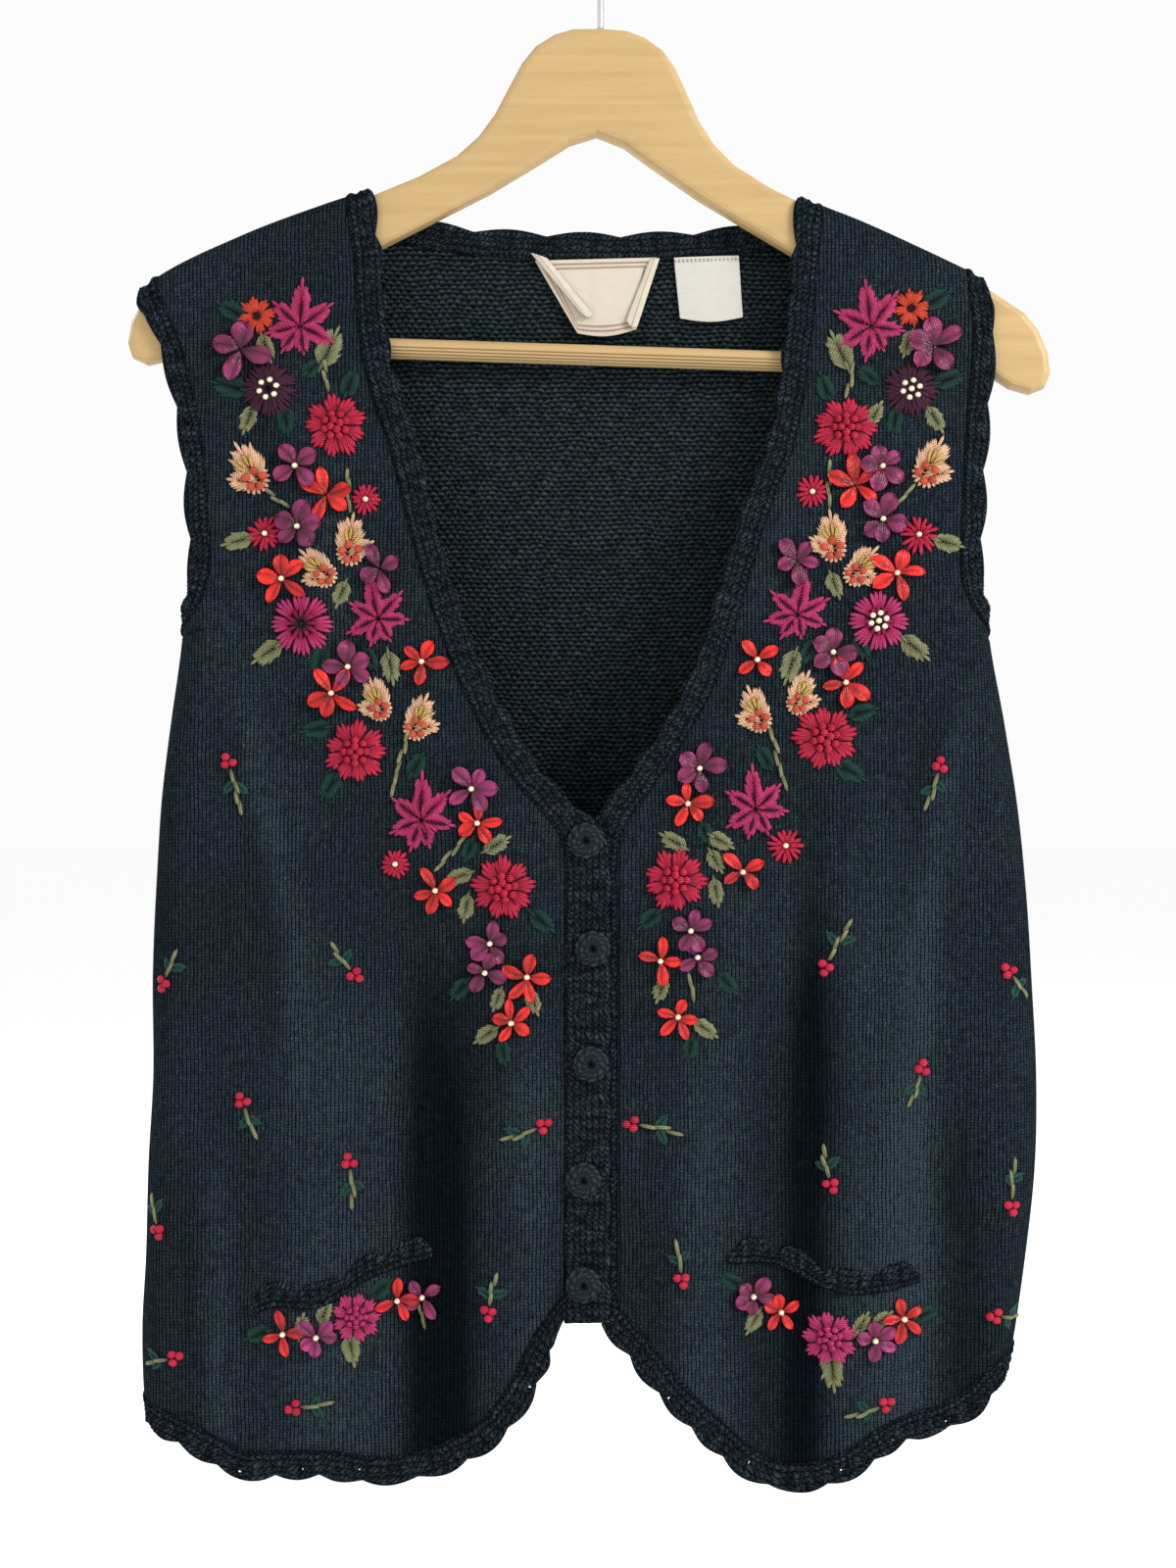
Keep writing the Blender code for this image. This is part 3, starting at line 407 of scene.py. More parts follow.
@dataclass(frozen=True)
class Form:
    """Form of the hung vest, in millimetres, as the CAD part has it."""

    knit_wall: float = 2.0
    band_wall: float = 2.2
    seam_gap: float = 0.35
    laid_gap: float = 0.45
    fold_radius: float = 9.4
    keep_fade: float = 12.0
    shoulder_seat: float = 4.0
    side_depth_top: float = 9.4
    side_depth_hem: float = 18.0
    side_ease_top: float = -225.0
    side_ease_length: float = 190.0
    crown: float = 7.0
    crown_ease: float = 260.0
    seam_angle: float = 0.5
    underarm: float = -369.0
    armhole_curve: float = 62.0
    armhole_band: float = 11.5
    armhole_reach: float = 2.0
    placket_lift: float = 1.4
    lift_reach: float = 62.0
    lift_ease: float = 44.0
    lift_top: float = -395.0
    lift_top_ease: float = 50.0
    flower_rise: float = 1.8
    dome_power: float = 1.5
    tilt: float = math.radians(1.9)
    board_top: float = -72.0
    step: float = 0.5
    fold_ease_in: float = 2.5
    fold_end: float = 1.6
    fold_ease_out: float = 2.0
    bent_from: float = 0.06

    def tilted(self, across: float, height: float) -> tuple[float, float]:
        """Turn a point of the hanger's own frame to where the tilted hanger holds it."""
        x = across * math.cos(self.tilt) + height * math.sin(self.tilt)
        z = self.board_top - across * math.sin(self.tilt) + height * math.cos(self.tilt)
        return x, z

    def ridge(self, x: Grid) -> Grid:
        """Height of the shoulder line at x."""
        rows = [
            self.tilted(sign * across, height + self.shoulder_seat)
            for across, height in RIDGE_HALF
            for sign in (1.0, -1.0)
        ]
        return curve_through(tuple(rows), x)

    def side_depth(self, height: Grid) -> Grid:
        """Half depth of the body at its sides."""
        ease = smoothstep((self.side_ease_top - height) / self.side_ease_length)
        return self.side_depth_top + (self.side_depth_hem - self.side_depth_top) * ease

    def flat_reach(self, across: Grid, height: Grid) -> Grid:
        """How far the front is flat before it turns round the side.

        Args:
            across: places across, measured on the cloth.
            height: their heights.

        Returns:
            The reach at each place.
        """
        right = curve_through(SIDE_LINE, height, 1)
        left = curve_through(SIDE_LINE, height, 2)
        reach = np.where(np.asarray(across) < 0.0, right, left)
        turn = smoothstep((self.underarm + self.armhole_curve - height) / self.armhole_curve)
        return reach - self.armhole_reach - (self.side_depth(height) - self.armhole_reach) * turn

    def folds(self, side: Side, x: Grid, height: Grid) -> Grid:
        """Sum of the soft folds at a point: a bell across, easing in from the top.

        Args:
            side: which surface.
            x: places across.
            height: their heights.

        Returns:
            How far the cloth stands out at each place.
        """
        total = np.zeros(np.broadcast(x, height).shape)
        for row in (BACK_FOLDS if side is Side.BACK else FRONT_FOLDS) + CREASES:
            top_x, top_z, foot_x, foot_z, width, rise = row
            along = (top_z - height) / (top_z - foot_z)
            middle = top_x + (foot_x - top_x) * np.clip(along, 0.0, 1.0)
            into = smoothstep(along * self.fold_ease_in)
            out = smoothstep((self.fold_end - along) * self.fold_ease_out)
            total = total + rise * bell(x, middle, width) * into * out
        return total

    def surface(self, side: Side, across: Grid, height: Grid) -> Grid:
        """Outer face of the cloth.

        The section is flat, with a round end of the half depth at each side, a crown in the
        middle, (1 - ratio squared) squared, and the folds. Near the shoulder line the depth
        follows a circle of the fold's radius.

        Args:
            side: which surface.
            across: distance from the centre line, measured on the cloth.
            height: height, 0 at the hook's inside top.

        Returns:
            Points in millimetres, three values in the last place.
        """
        across, height = np.broadcast_arrays(np.asarray(across, float), np.asarray(height, float))
        sign = np.where(across < 0.0, -1.0, 1.0)
        reach = self.flat_reach(across, height)
        past = np.clip(np.abs(across) - reach, 0.0, None)
        depth = self.side_depth(height)
        angle = past / depth
        x = sign * (np.minimum(np.abs(across), reach) + depth * np.sin(angle))
        below = np.clip(self.ridge(x) - height, 0.0, None)
        radius = self.fold_radius
        bend = np.sqrt(np.clip(radius**2 - (radius - below) ** 2, 0.0, None))
        depth = np.where(below < radius, bend, depth)
        ratio = np.clip(np.abs(x) / reach, 0.0, 1.0)
        crown = self.crown * smoothstep((below - radius) / self.crown_ease) * (1.0 - ratio**2) ** 2
        front = np.cos(angle)
        folds = self.folds(side, x, height)
        out = depth * front + (crown + folds) * np.clip(front, 0.0, 1.0)
        lift = {Side.RIGHT: 1.0, Side.LEFT: -1.0, Side.BACK: 0.0}[side] * self.placket_lift
        near = smoothstep((self.lift_reach - np.abs(x)) / self.lift_ease)
        out = out + lift * near * smoothstep((self.lift_top - height) / self.lift_top_ease)
        return np.stack((x, side.facing * out, height), axis=-1)

    def normals(self, side: Side, across: Grid, height: Grid) -> Grid:
        """Outward directions of the cloth: over the shoulder fold those of a bent tube.

        Args:
            side: which surface.
            across: places across, measured on the cloth.
            height: their heights.

        Returns:
            Directions of length one, three values in the last place.
        """
        step = self.step
        wide = self.surface(side, across + step, height) - self.surface(side, across - step, height)
        tall = self.surface(side, across, height + step) - self.surface(side, across, height - step)
        found = np.cross(wide, tall)
        found /= np.linalg.norm(found, axis=-1, keepdims=True)
        found = found * -side.facing
        x = self.surface(side, across, height)[..., 0]
        slope = (self.ridge(x + step) - self.ridge(x - step)) / (2.0 * step)
        up = np.clip((self.fold_radius - self.ridge(x) + height) / self.fold_radius, 0.0, 1.0)
        bent = np.stack((-slope * up, side.facing * np.sqrt(1.0 - up**2), up), axis=-1)
        bent /= np.linalg.norm(bent, axis=-1, keepdims=True)
        return np.where((up > self.bent_from)[..., None], bent, found)

    def flowers(self, points: Grid) -> Grid:
        """How far the large flowers lift the fronts: a smooth dome on each.

        Args:
            points: points in millimetres.

        Returns:
            The rise at each point.
        """
        rise = np.zeros(points.shape[:-1])
        for across, height, radius in RAISED_FLOWERS:
            away = ((points[..., 0] - across) ** 2 + (points[..., 2] - height) ** 2) / radius**2
            dome = self.flower_rise * np.clip(1.0 - away, 0.0, 1.0) ** self.dome_power
            rise = np.maximum(rise, dome)
        return rise

    def laid(self, side: Side, across: Grid, height: Grid, lift: Grid) -> Grid:
        """Points at a distance over the cloth, on top of the padded flowers.

        Args:
            side: which surface.
            across: places across, measured on the cloth.
            height: their heights.
            lift: how far each lies over the cloth.

        Returns:
            Points in millimetres, three values in the last place.
        """
        points = self.surface(side, across, height)
        normals = self.normals(side, across, height)
        rise = self.flowers(points) if side is not Side.BACK else np.zeros(points.shape[:-1])
        return points + normals * (rise + lift)[..., None]

    def inner_edge(self, side: Side, height: Grid) -> Grid:
        """Inner edge of a front at a height."""
        return curve_through(INNER_EDGE, height, 1 if side is Side.RIGHT else 2)

    def outer_edge(self, side: Side, sign: float, height: Grid) -> Grid:
        """Armhole edge and, under the arm, the side seam; a quarter ellipse joins them.

        Args:
            side: which surface.
            sign: -1 on the wearer's right, 1 elsewhere.
            height: their heights.

        Returns:
            Places of the edge, measured on the cloth.
        """
        reach = self.flat_reach(sign, height)
        open_edge = reach - (self.armhole_band - self.armhole_reach)
        turn = math.pi / 2.0 + (-self.seam_angle if side is Side.BACK else self.seam_angle)
        seam = reach + turn * self.side_depth(height) - 0.5 * self.seam_gap
        rise = np.clip((height - self.underarm) / self.armhole_curve, 0.0, 1.0)
        share = 1.0 - np.sqrt(np.clip(1.0 - (1.0 - rise) ** 2, 0.0, 1.0))
        return sign * (open_edge + (seam - open_edge) * share)


@dataclass
class Cloth:
    """Grids of the three panels, finer than the CAD part's, with the same edges."""

    form: Form
    fold_steps: int = 9
    first_angle: float = 1.3
    columns: int = 84
    lower_rows: int = 110
    row_fineness: int = 3
    neck_columns: int = 60
    shoulder_columns: int = 22
    rounds: int = 8
    top_guess: float = -180.0
    hem_guess: float = -730.0

    def __post_init__(self) -> None:
        """Work out the fold angles and the finer rows beside the armhole."""
        self.angles = np.radians(np.linspace(self.first_angle, 90.0, self.fold_steps))
        count = len(ARMHOLE_ROWS)
        fine = np.linspace(0, count - 1, (count - 1) * self.row_fineness + 1)
        self.arm_rows = np.interp(fine, np.arange(count), ARMHOLE_ROWS)

    def shares(self, top: float, hem: float) -> Grid:
        """Share of each row below the shoulder fold, from heights at the side edge."""
        start = top - self.form.fold_radius
        below = np.linspace(self.form.underarm, hem, self.lower_rows + 1)[1:]
        return (np.concatenate((self.arm_rows, below)) - start) / (hem - start)

    def rows(self, top: Grid, hem: Grid, shares: Grid) -> Grid:
        """Heights of each column's rows: over the shoulder, then down to the hem.

        Args:
            top: height of each column's shoulder.
            hem: height of each column's hem.
            shares: share of the way down of each row.

        Returns:
            Heights, rows by columns.
        """
        bend = self.form.fold_radius * (1.0 - np.cos(self.angles))
        start = top - self.form.fold_radius
        down = start[None, :] + shares * (hem - start)[None, :]
        return np.concatenate((top[None, :] - bend[:, None], down))

    def front_across(self, side: Side, heights: Grid) -> Grid:
        """Places of a front's columns at given heights."""
        inner = self.form.inner_edge(side, heights)
        outer = self.form.outer_edge(side, side.sign, heights)
        return inner + (outer - inner) * np.linspace(0.0, 1.0, self.columns)

    def front(self, side: Side) -> tuple[Grid, Grid]:
        """Across and height of a front: rows from shoulder to hem, columns to the side."""
        table = RIGHT_HEM if side is Side.RIGHT else LEFT_HEM
        top = np.full(self.columns, self.top_guess)
        hem = np.full(self.columns, self.hem_guess)
        for _ in range(self.rounds):
            top = self.form.ridge(self.front_across(side, top))
            hem = curve_through(table, np.abs(self.front_across(side, hem)))
        heights = self.rows(top, hem, self.shares(top[-1], hem[-1])[:, None])
        return self.front_across(side, heights), heights

    def back_across(self, columns: Grid, heights: Grid) -> Grid:
        """Places of the back's columns at given heights."""
        right = self.form.outer_edge(Side.BACK, -1.0, heights)
        left = self.form.outer_edge(Side.BACK, 1.0, heights)
        return right + (left - right) * columns

    def back(self) -> tuple[Grid, Grid, int, int]:
        """Across and height of the back, and the columns at the two corners of the neck."""
        corners = []
        for column in (1, 2):
            place = INNER_EDGE[0][column]
            height = self.form.ridge(place)
            right = self.form.outer_edge(Side.BACK, -1.0, height)
            left = self.form.outer_edge(Side.BACK, 1.0, height)
            corners.append(float((place - right) / (left - right)))
        shoulder = np.linspace(0.0, 1.0, self.shoulder_columns)
        first = corners[0] * shoulder
        last = 1.0 - (1.0 - corners[1]) * shoulder[::-1]
        middle = np.linspace(corners[0], corners[1], self.neck_columns + 1)[1:-1]
        columns = np.concatenate((first, middle, last))
        low = len(first) - 1
        high = len(first) + len(middle)
        top = np.full(len(columns), self.top_guess)
        hem = np.full(len(columns), self.hem_guess)
        for _ in range(self.rounds):
            top = self.form.ridge(self.back_across(columns, top))
            hem = curve_through(BACK_HEM, self.back_across(columns, hem))
        neck = slice(low + 1, high)
        radius = self.form.fold_radius
        for _ in range(self.rounds):
            places = self.back_across(columns, top - radius)[neck]
            top[neck] = curve_through(BACK_NECK, places) + radius
        right_share = self.shares(top[0], hem[0])
        left_share = self.shares(top[-1], hem[-1])
        shares = right_share[:, None] + (left_share - right_share)[:, None] * columns[None, :]
        heights = self.rows(top, hem, shares)
        return self.back_across(columns, heights), heights, low, high


@dataclass(frozen=True)
class Wire:
    """A value in a shader: a socket and its tree, with arithmetic."""

    tree: bpy.types.NodeTree
    socket: bpy.types.NodeSocket

    def maths(self, operation: str, *values: "Wire | float") -> "Wire":
        """Put values through one Math node."""
        node = self.tree.nodes.new("ShaderNodeMath")
        node.operation = operation
        for slot, value in zip(node.inputs, values):
            if isinstance(value, Wire):
                self.tree.links.new(value.socket, slot)
            else:
                slot.default_value = value
        return Wire(self.tree, node.outputs[0])

    def __add__(self, other: "Wire | float") -> "Wire":
        """Sum."""
        return self.maths("ADD", self, other)

    def __radd__(self, other: float) -> "Wire":
        """Sum, from the right."""
        return self.maths("ADD", other, self)

    def __sub__(self, other: "Wire | float") -> "Wire":
        """Difference."""
        return self.maths("SUBTRACT", self, other)

    def __rsub__(self, other: float) -> "Wire":
        """Difference, from the right."""
        return self.maths("SUBTRACT", other, self)

    def __mul__(self, other: "Wire | float") -> "Wire":
        """Product."""
        return self.maths("MULTIPLY", self, other)

    def __rmul__(self, other: float) -> "Wire":
        """Product, from the right."""
        return self.maths("MULTIPLY", other, self)

    def __truediv__(self, other: "Wire | float") -> "Wire":
        """Quotient."""
        return self.maths("DIVIDE", self, other)

    def __pow__(self, other: float) -> "Wire":
        """Power."""
        return self.maths("POWER", self, other)

    def fraction(self) -> "Wire":
        """Part after the point."""
        return self.maths("FRACT", self)

    def whole(self) -> "Wire":
        """Part before the point."""
        return self.maths("FLOOR", self)

    def size(self) -> "Wire":
        """Value without its sign."""
        return self.maths("ABSOLUTE", self)

    def sine(self) -> "Wire":
        """Sine."""
        return self.maths("SINE", self)

    def held(self) -> "Wire":
        """Value held between 0 and 1."""
        return self.maths("MINIMUM", self.maths("MAXIMUM", self, 0.0), 1.0)

    def valley(self) -> "Wire":
        """Square of the distance from the middle of each whole step: 0 there, 1 at its ends."""
        return (self.fraction() * 2.0 - 1.0) ** 2.0


class Shade:
    """A material under construction: its tree, its shader and ways to add nodes."""

    def __init__(self, name: str, color: Color, roughness: float, metallic: float = 0.0) -> None:
        """Start a Principled material with constants on its own sockets."""
        self.material = bpy.data.materials.new(name)
        self.material.use_nodes = True
        self.tree = self.material.node_tree
        self.shader = self.tree.nodes["Principled BSDF"]
        self.material.diffuse_color = (*color, 1.0)
        self.constant("Base Color", (*color, 1.0))
        self.constant("Roughness", roughness)
        self.constant("Metallic", metallic)

    def constant(self, socket: str, value: float | tuple) -> None:
        """Set a shader socket to a value that is the same all over."""
        self.shader.inputs[socket].default_value = value

    def node(self, kind: str, settings: dict, inputs: dict, output: int | str = 0) -> Wire:
        """Add a node.

        Args:
            kind: node type.
            settings: properties to set on it.
            inputs: values or wires by socket name or number.
            output: which output to return.

        Returns:
            The output as a wire.
        """
        node = self.tree.nodes.new(kind)
        for key, value in settings.items():
            setattr(node, key, value)
        for key, value in inputs.items():
            if isinstance(value, Wire):
                self.tree.links.new(value.socket, node.inputs[key])
            else:
                node.inputs[key].default_value = value
        return Wire(self.tree, node.outputs[output])

    def to_shader(self, socket: str, wire: Wire) -> None:
        """Link a wire to a shader socket."""
        self.tree.links.new(wire.socket, self.shader.inputs[socket])

    def place(self) -> tuple[Wire, Wire]:
        """The piece's own texture place, in millimetres, as two wires."""
        vector = self.node("ShaderNodeUVMap", {"uv_map": "Place"}, {})
        split = {"Vector": vector}
        across = self.node("ShaderNodeSeparateXYZ", {}, split, "X")
        along = self.node("ShaderNodeSeparateXYZ", {}, split, "Y")
        return across * UV_MM, along * UV_MM

    def noise(self, scale: float, detail: float = 2.0, stretch: Color = (1.0, 1.0, 1.0)) -> Wire:
        """Noise between 0 and 1 on Object coordinates."""
        vector = self.node("ShaderNodeTexCoord", {}, {}, "Object")
        if stretch != (1.0, 1.0, 1.0):
            vector = self.node("ShaderNodeMapping", {}, {"Vector": vector, "Scale": stretch})
        return self.node(
            "ShaderNodeTexNoise", {}, {"Vector": vector, "Scale": scale, "Detail": detail}, "Fac",
        )

    def blend(self, share: Wire, first: Color | Wire, second: Color | Wire) -> Wire:
        """Mix two colours by a share."""
        ends = [
            value if isinstance(value, Wire) else (*value, 1.0) for value in (first, second)
        ]
        settings = {"data_type": "RGBA"}
        return self.node("ShaderNodeMix", settings, {0: share, 6: ends[0], 7: ends[1]}, 2)

    def tint(self) -> Wire:
        """The piece's own colour, stored on its points."""
        settings = {"attribute_name": "Tint", "attribute_type": "GEOMETRY"}
        return self.node("ShaderNodeAttribute", settings, {}, "Color")

    def level(self) -> Wire:
        """The red of the piece's own colour, where that stores a level."""
        return self.node("ShaderNodeSeparateColor", {}, {"Color": self.tint()}, "Red")

    def color_by_tint(self, share: Wire, dark: float) -> None:
        """Colour the shader from a dark share of the piece's own colour to the full one."""
        settings = {"operation": "SCALE"}
        low = self.node("ShaderNodeVectorMath", settings, {0: self.tint(), 3: dark})
        self.to_shader("Base Color", self.blend(share, low, self.tint()))

    def bump(self, height: Wire, distance: float, strength: float = 1.0) -> None:
        """Bump the shader's normal by a height."""
        inputs = {"Height": height, "Distance": distance, "Strength": strength}
        self.to_shader("Normal", self.node("ShaderNodeBump", {}, inputs))


@dataclass(frozen=True)
class Knit:
    """Stockinette knit: the V stitches outside, the rows of purl bumps inside."""

    wale: float = 1.9
    course: float = 1.45
    slant: float = 1.35
    bump_width: float = 3.7
    bump_row: float = 2.4
    shadow: Color = (0.0010, 0.0021, 0.0029)
    light: Color = (0.0500, 0.0720, 0.0920)
    inside_shadow: Color = (0.0010, 0.0016, 0.0020)
    inside_light: Color = (0.0385, 0.0530, 0.0600)
    relief: float = 0.0012

    def outside(self) -> bpy.types.Material:
        """Two slanting legs in each wale make a V; dark gaps part the wales."""
        shade = Shade("Knit outside", self.light, 0.85)
        across, along = shade.place()
        wander = (shade.noise(30.0, 2.0) - 0.5) * 1.3 + (shade.noise(500.0, 1.0) - 0.5) * 0.55
        leg_place = ((across / self.wale + wander).fraction() - 0.5).size()
        wale = (1.0 - (leg_place * 2.1) ** 2.6).held()
        middle = (leg_place * 9.0).held() * 0.4 + 0.6
        jitter = (shade.noise(300.0, 1.0) - 0.5) * 1.6
        loop = 1.0 - (along / self.course - leg_place * self.slant + jitter).valley()
        height = wale * middle * (loop * 0.75 + 0.25)
        patch = shade.noise(9.0, 3.0)
        uneven = shade.noise(330.0, 1.0)
        fuzz = shade.noise(900.0, 2.0)
        share = height * (patch * 0.6 + 0.45) * (uneven * 1.2 + 0.4) * (fuzz * 0.9 + 0.55)
        # The level is painted fold shade: paler on fold crests and on slopes towards the key light,
        # darker in troughs.
        share = (share * (shade.level() * 1.3 + 0.35)).held() ** 1.3
        shade.to_shader("Base Color", shade.blend(share, self.shadow, self.light))
        shade.bump(height + fuzz * 0.5, self.relief)
        shade.constant("Specular IOR Level", 0.0)
        return shade.material

    def inside(self) -> bpy.types.Material:
        """Interlocked arcs: each row a string of bumps, shifted by half a wale each time."""
        shade = Shade("Knit inside", self.inside_light, 0.9)
        across, along = shade.place()
        row = along / self.bump_row + (shade.noise(90.0, 2.0) - 0.5) * 1.5
        shifted = across / self.bump_width + row.whole() * 0.5 + (shade.noise(140.0, 1.0) - 0.5)
        bump = shifted.valley()
        height = (1.0 - (row + bump * 0.35).valley()) * (1.0 - bump * 0.55)
        fuzz = shade.noise(800.0, 2.0)
        uneven = shade.noise(260.0, 1.0)
        share = (height * (fuzz * 0.8 + 0.3) * (uneven * 1.5 + 0.25)).held() ** 1.3
        shade.to_shader("Base Color", shade.blend(share, self.inside_shadow, self.inside_light))
        shade.bump(height + fuzz * 0.4, self.relief)
        shade.constant("Specular IOR Level", 0.0)
        return shade.material


@dataclass(frozen=True)
class Crochet:
    """Crochet in the same yarn: dark loops whose tops catch the light."""

    shadow: Color = (0.0015, 0.0024, 0.0034)
    light: Color = (0.0430, 0.0575, 0.0735)
    loop: float = 2.7
    row: float = 3.0

    def material(self, braided: bool = True) -> bpy.types.Material:
        """Rows of loops that lean one way and then the other, as in a plait.

        Args:
            braided: whether the loops show; a button has none, its relief is enough.

        Returns:
            The material; the stored tint's red says how high a point stands.
        """
        shade = Shade("Crochet" if braided else "Crochet of the buttons", self.light, 0.75)
        height = shade.level()
        fibre = shade.noise(1100.0, 2.0)
        share = height ** 1.4
        relief = fibre * 0.5
        if braided:
            along, across = shade.place()
            wander = shade.noise(170.0, 3.0) * 9.0
            place = (across + wander * 0.55) / self.row
            lean = (place.fraction() * 2.0 - 1.0).size()
            step = (along + wander) / self.loop + lean * 0.7
            loops = (1.0 - step.valley()) * (1.05 - lean ** 3.0)
            share = loops * (height * 0.8 + 0.2) * (shade.noise(120.0, 1.0) * 1.4 + 0.25)
            relief = relief + loops
        share = (share * (fibre + 0.35)).held()
        shade.to_shader("Base Color", shade.blend(share, self.shadow, self.light))
        shade.bump(relief, 0.0010)
        shade.constant("Specular IOR Level", 0.0)
        return shade.material


@dataclass(frozen=True)
class Thread:
    """Embroidery yarn: twisted strands that lie side by side along each stitch."""

    strand: float = 0.95
    twist: float = 1.3
    slant: float = 0.8
    strand_gap_shade: float = 0.13

    def material(self) -> bpy.types.Material:
        """Rounded ridges along the stitch, crossed by the slant of the twist, with painted shade in
        the grooves between them.
        """
        shade = Shade("Embroidery yarn", (0.5, 0.03, 0.1), 0.6)
        along, across = shade.place()
        ridge = (across / self.strand).valley()
        twist = ((along + across * self.slant) / self.twist).valley()
        height = 1.0 - ridge * 0.6 - twist * 0.5
        fuzz = shade.noise(900.0, 2.0)
        # Painted shade: darker in the grooves between strands and along the twist, down to the gap
        # share of the stored colour.
        shade.color_by_tint((height * 1.3 + fuzz * 0.8 - 0.48).held(), self.strand_gap_shade)
        shade.bump(height + fuzz * 0.5, 0.0007)
        shade.constant("Specular IOR Level", 0.15)
        return shade.material


@dataclass(frozen=True)
class Satin:
    """Satin ribbon: smooth, with a soft lengthwise sheen."""

    shade_tone: float = 0.45

    def material(self) -> bpy.types.Material:
        """The stored tint, clouded, with fine lengthwise lines."""
        shade = Shade("Satin ribbon", (0.5, 0.02, 0.05), 0.33)
        _, across = shade.place()
        cloud = shade.noise(260.0, 2.0)
        lines = (across * 6.0 + cloud * 3.0).sine()
        shade.color_by_tint((cloud * 1.5 - 0.15 + lines * 0.08).held(), self.shade_tone)
        shade.bump(lines * 0.3 + cloud * 4.0, 0.0003)
        shade.constant("Specular IOR Level", 0.28)
        return shade.material


@dataclass(frozen=True)
class Plain:
    """A finish that is the same all over."""

    name: str
    color: Color
    roughness: float
    metallic: float = 0.0
    coat: float = 0.0

    def material(self) -> bpy.types.Material:
        """Principled material with constants alone."""
        shade = Shade(self.name, self.color, self.roughness, self.metallic)
        shade.constant("Coat Weight", self.coat)
        return shade.material


@dataclass(frozen=True)
class Woven:
    """Label cloth: a fine plain weave over the stored tint."""

    thread_turn: float = 15.0
    shade_tone: float = 0.78

    def material(self) -> bpy.types.Material:
        """Threads of a fifth of a millimetre, seen as a slight relief and shade."""
        shade = Shade("Label cloth", (0.8, 0.74, 0.62), 0.62)
        across, along = shade.place()
        weave = (across * self.thread_turn).sine() * (along * self.thread_turn).sine()
        cloud = shade.noise(160.0, 2.0)
        shade.color_by_tint((weave * 0.12 + cloud * 0.5 + 0.45).held(), self.shade_tone)
        shade.bump(weave + cloud * 3.0, 0.0002)
        return shade.material


@dataclass(frozen=True)
class Wood:
    """Pale varnished wood with a straight grain along the hanger."""

    light: Color = (0.435, 0.300, 0.135)
    dark: Color = (0.345, 0.222, 0.090)
    # Colour of the painted shade in the bar's grooves.
    groove: Color = (0.130, 0.074, 0.028)

    def material(self, grooved: bool = False) -> bpy.types.Material:
        """Long streaks from a noise stretched along X, fine pores and maybe painted shade in the
        grooves.

        Args:
            grooved: whether the stored tint's red tells where grooves lie, to be darkened as
                painted shade.

        Returns:
            The material.
        """
        shade = Shade("Grooved wood" if grooved else "Varnished wood", self.light, 0.42)
        streak = shade.noise(1.0, 3.0, (14.0, 90.0, 260.0))
        pore = shade.noise(1.0, 2.0, (60.0, 700.0, 1600.0))
        share = (streak * 1.3 - 0.35 + (pore - 0.5) * 0.35).held()
        color = shade.blend(share, self.light, self.dark)
        if grooved:
            # Painted shade: towards the groove colour where the stored level falls, in the grooves.
            color = shade.blend(shade.level(), self.groove, color)
        shade.to_shader("Base Color", color)
        shade.bump(pore, 0.00005)
        shade.constant("Specular IOR Level", 0.3)
        return shade.material


@dataclass
class Pile:
    """Points, faces, texture places and tints that become one mesh, in millimetres."""

    points: list[Grid] = field(default_factory=list)
    places: list[Grid] = field(default_factory=list)
    tints: list[Grid] = field(default_factory=list)
    faces: list[Grid] = field(default_factory=list)
    marks: list[Grid] = field(default_factory=list)
    count: int = 0

    def add(self, points: Grid, place: Grid, tint: Grid, faces: Grid, mark: int = 0) -> None:
        """Add points with the faces between them; faces may have any one number of corners."""
        self.points.append(points.reshape(-1, 3))
        self.places.append(place.reshape(-1, 2))
        self.tints.append(tint.reshape(-1, 3))
        self.more_faces(faces, mark, self.count)
        self.count += len(self.points[-1])

    def more_faces(self, faces: Grid, mark: int, start: int) -> None:
        """Add faces between points that are already in the pile."""
        self.faces.append(faces.reshape(-1, faces.shape[-1]) + start)
        self.marks.append(np.full(len(self.faces[-1]), mark))

    def build(self, name: str, materials: tuple, slot: str, *nodes: str) -> bpy.types.Object:
        """Make the mesh and its object, which rides on the part's one body.

        Args:
            name: piece name.
            materials: materials by the faces' marks.
            slot: what the piece is made of; not used.
            nodes: CAD nodes whose place the piece takes.

        Returns:
            The new object.
        """
        mesh = bpy.data.meshes.new(name)
        points = np.concatenate(self.points) * MM
        loops = np.concatenate([part.reshape(-1) for part in self.faces]).astype(np.int32)
        sizes = np.concatenate([np.full(len(part), part.shape[1]) for part in self.faces])
        starts = np.concatenate(([0], np.cumsum(sizes)[:-1])).astype(np.int32)
        mesh.vertices.add(len(points))
        mesh.vertices.foreach_set("co", points.astype(np.float32).ravel())
        mesh.loops.add(len(loops))
        mesh.loops.foreach_set("vertex_index", loops)
        mesh.polygons.add(len(sizes))
        mesh.polygons.foreach_set("loop_start", starts)
        mesh.polygons.foreach_set("loop_total", sizes.astype(np.int32))
        mesh.polygons.foreach_set("use_smooth", np.ones(len(sizes), dtype=bool))
        mesh.polygons.foreach_set("material_index", np.concatenate(self.marks).astype(np.int32))
        mesh.update(calc_edges=True)
        mesh.validate()
        places = np.concatenate(self.places) / UV_MM
        layer = mesh.uv_layers.new(name="Place")
        layer.data.foreach_set("uv", places[loops].astype(np.float32).ravel())
        tints = np.concatenate(self.tints)
        tints = np.concatenate((tints, np.ones((len(tints), 1))), axis=1)
        colors = mesh.color_attributes.new(name="Tint", type="FLOAT_COLOR", domain="POINT")
        colors.data.foreach_set("color", tints.astype(np.float32).ravel())
        for material in materials:
            mesh.materials.append(material)
        item = bpy.data.objects.new(name, mesh)
        bpy.context.scene.collection.objects.link(item)
        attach(item, "root")
        if nodes:
            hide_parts(*nodes)
        return item


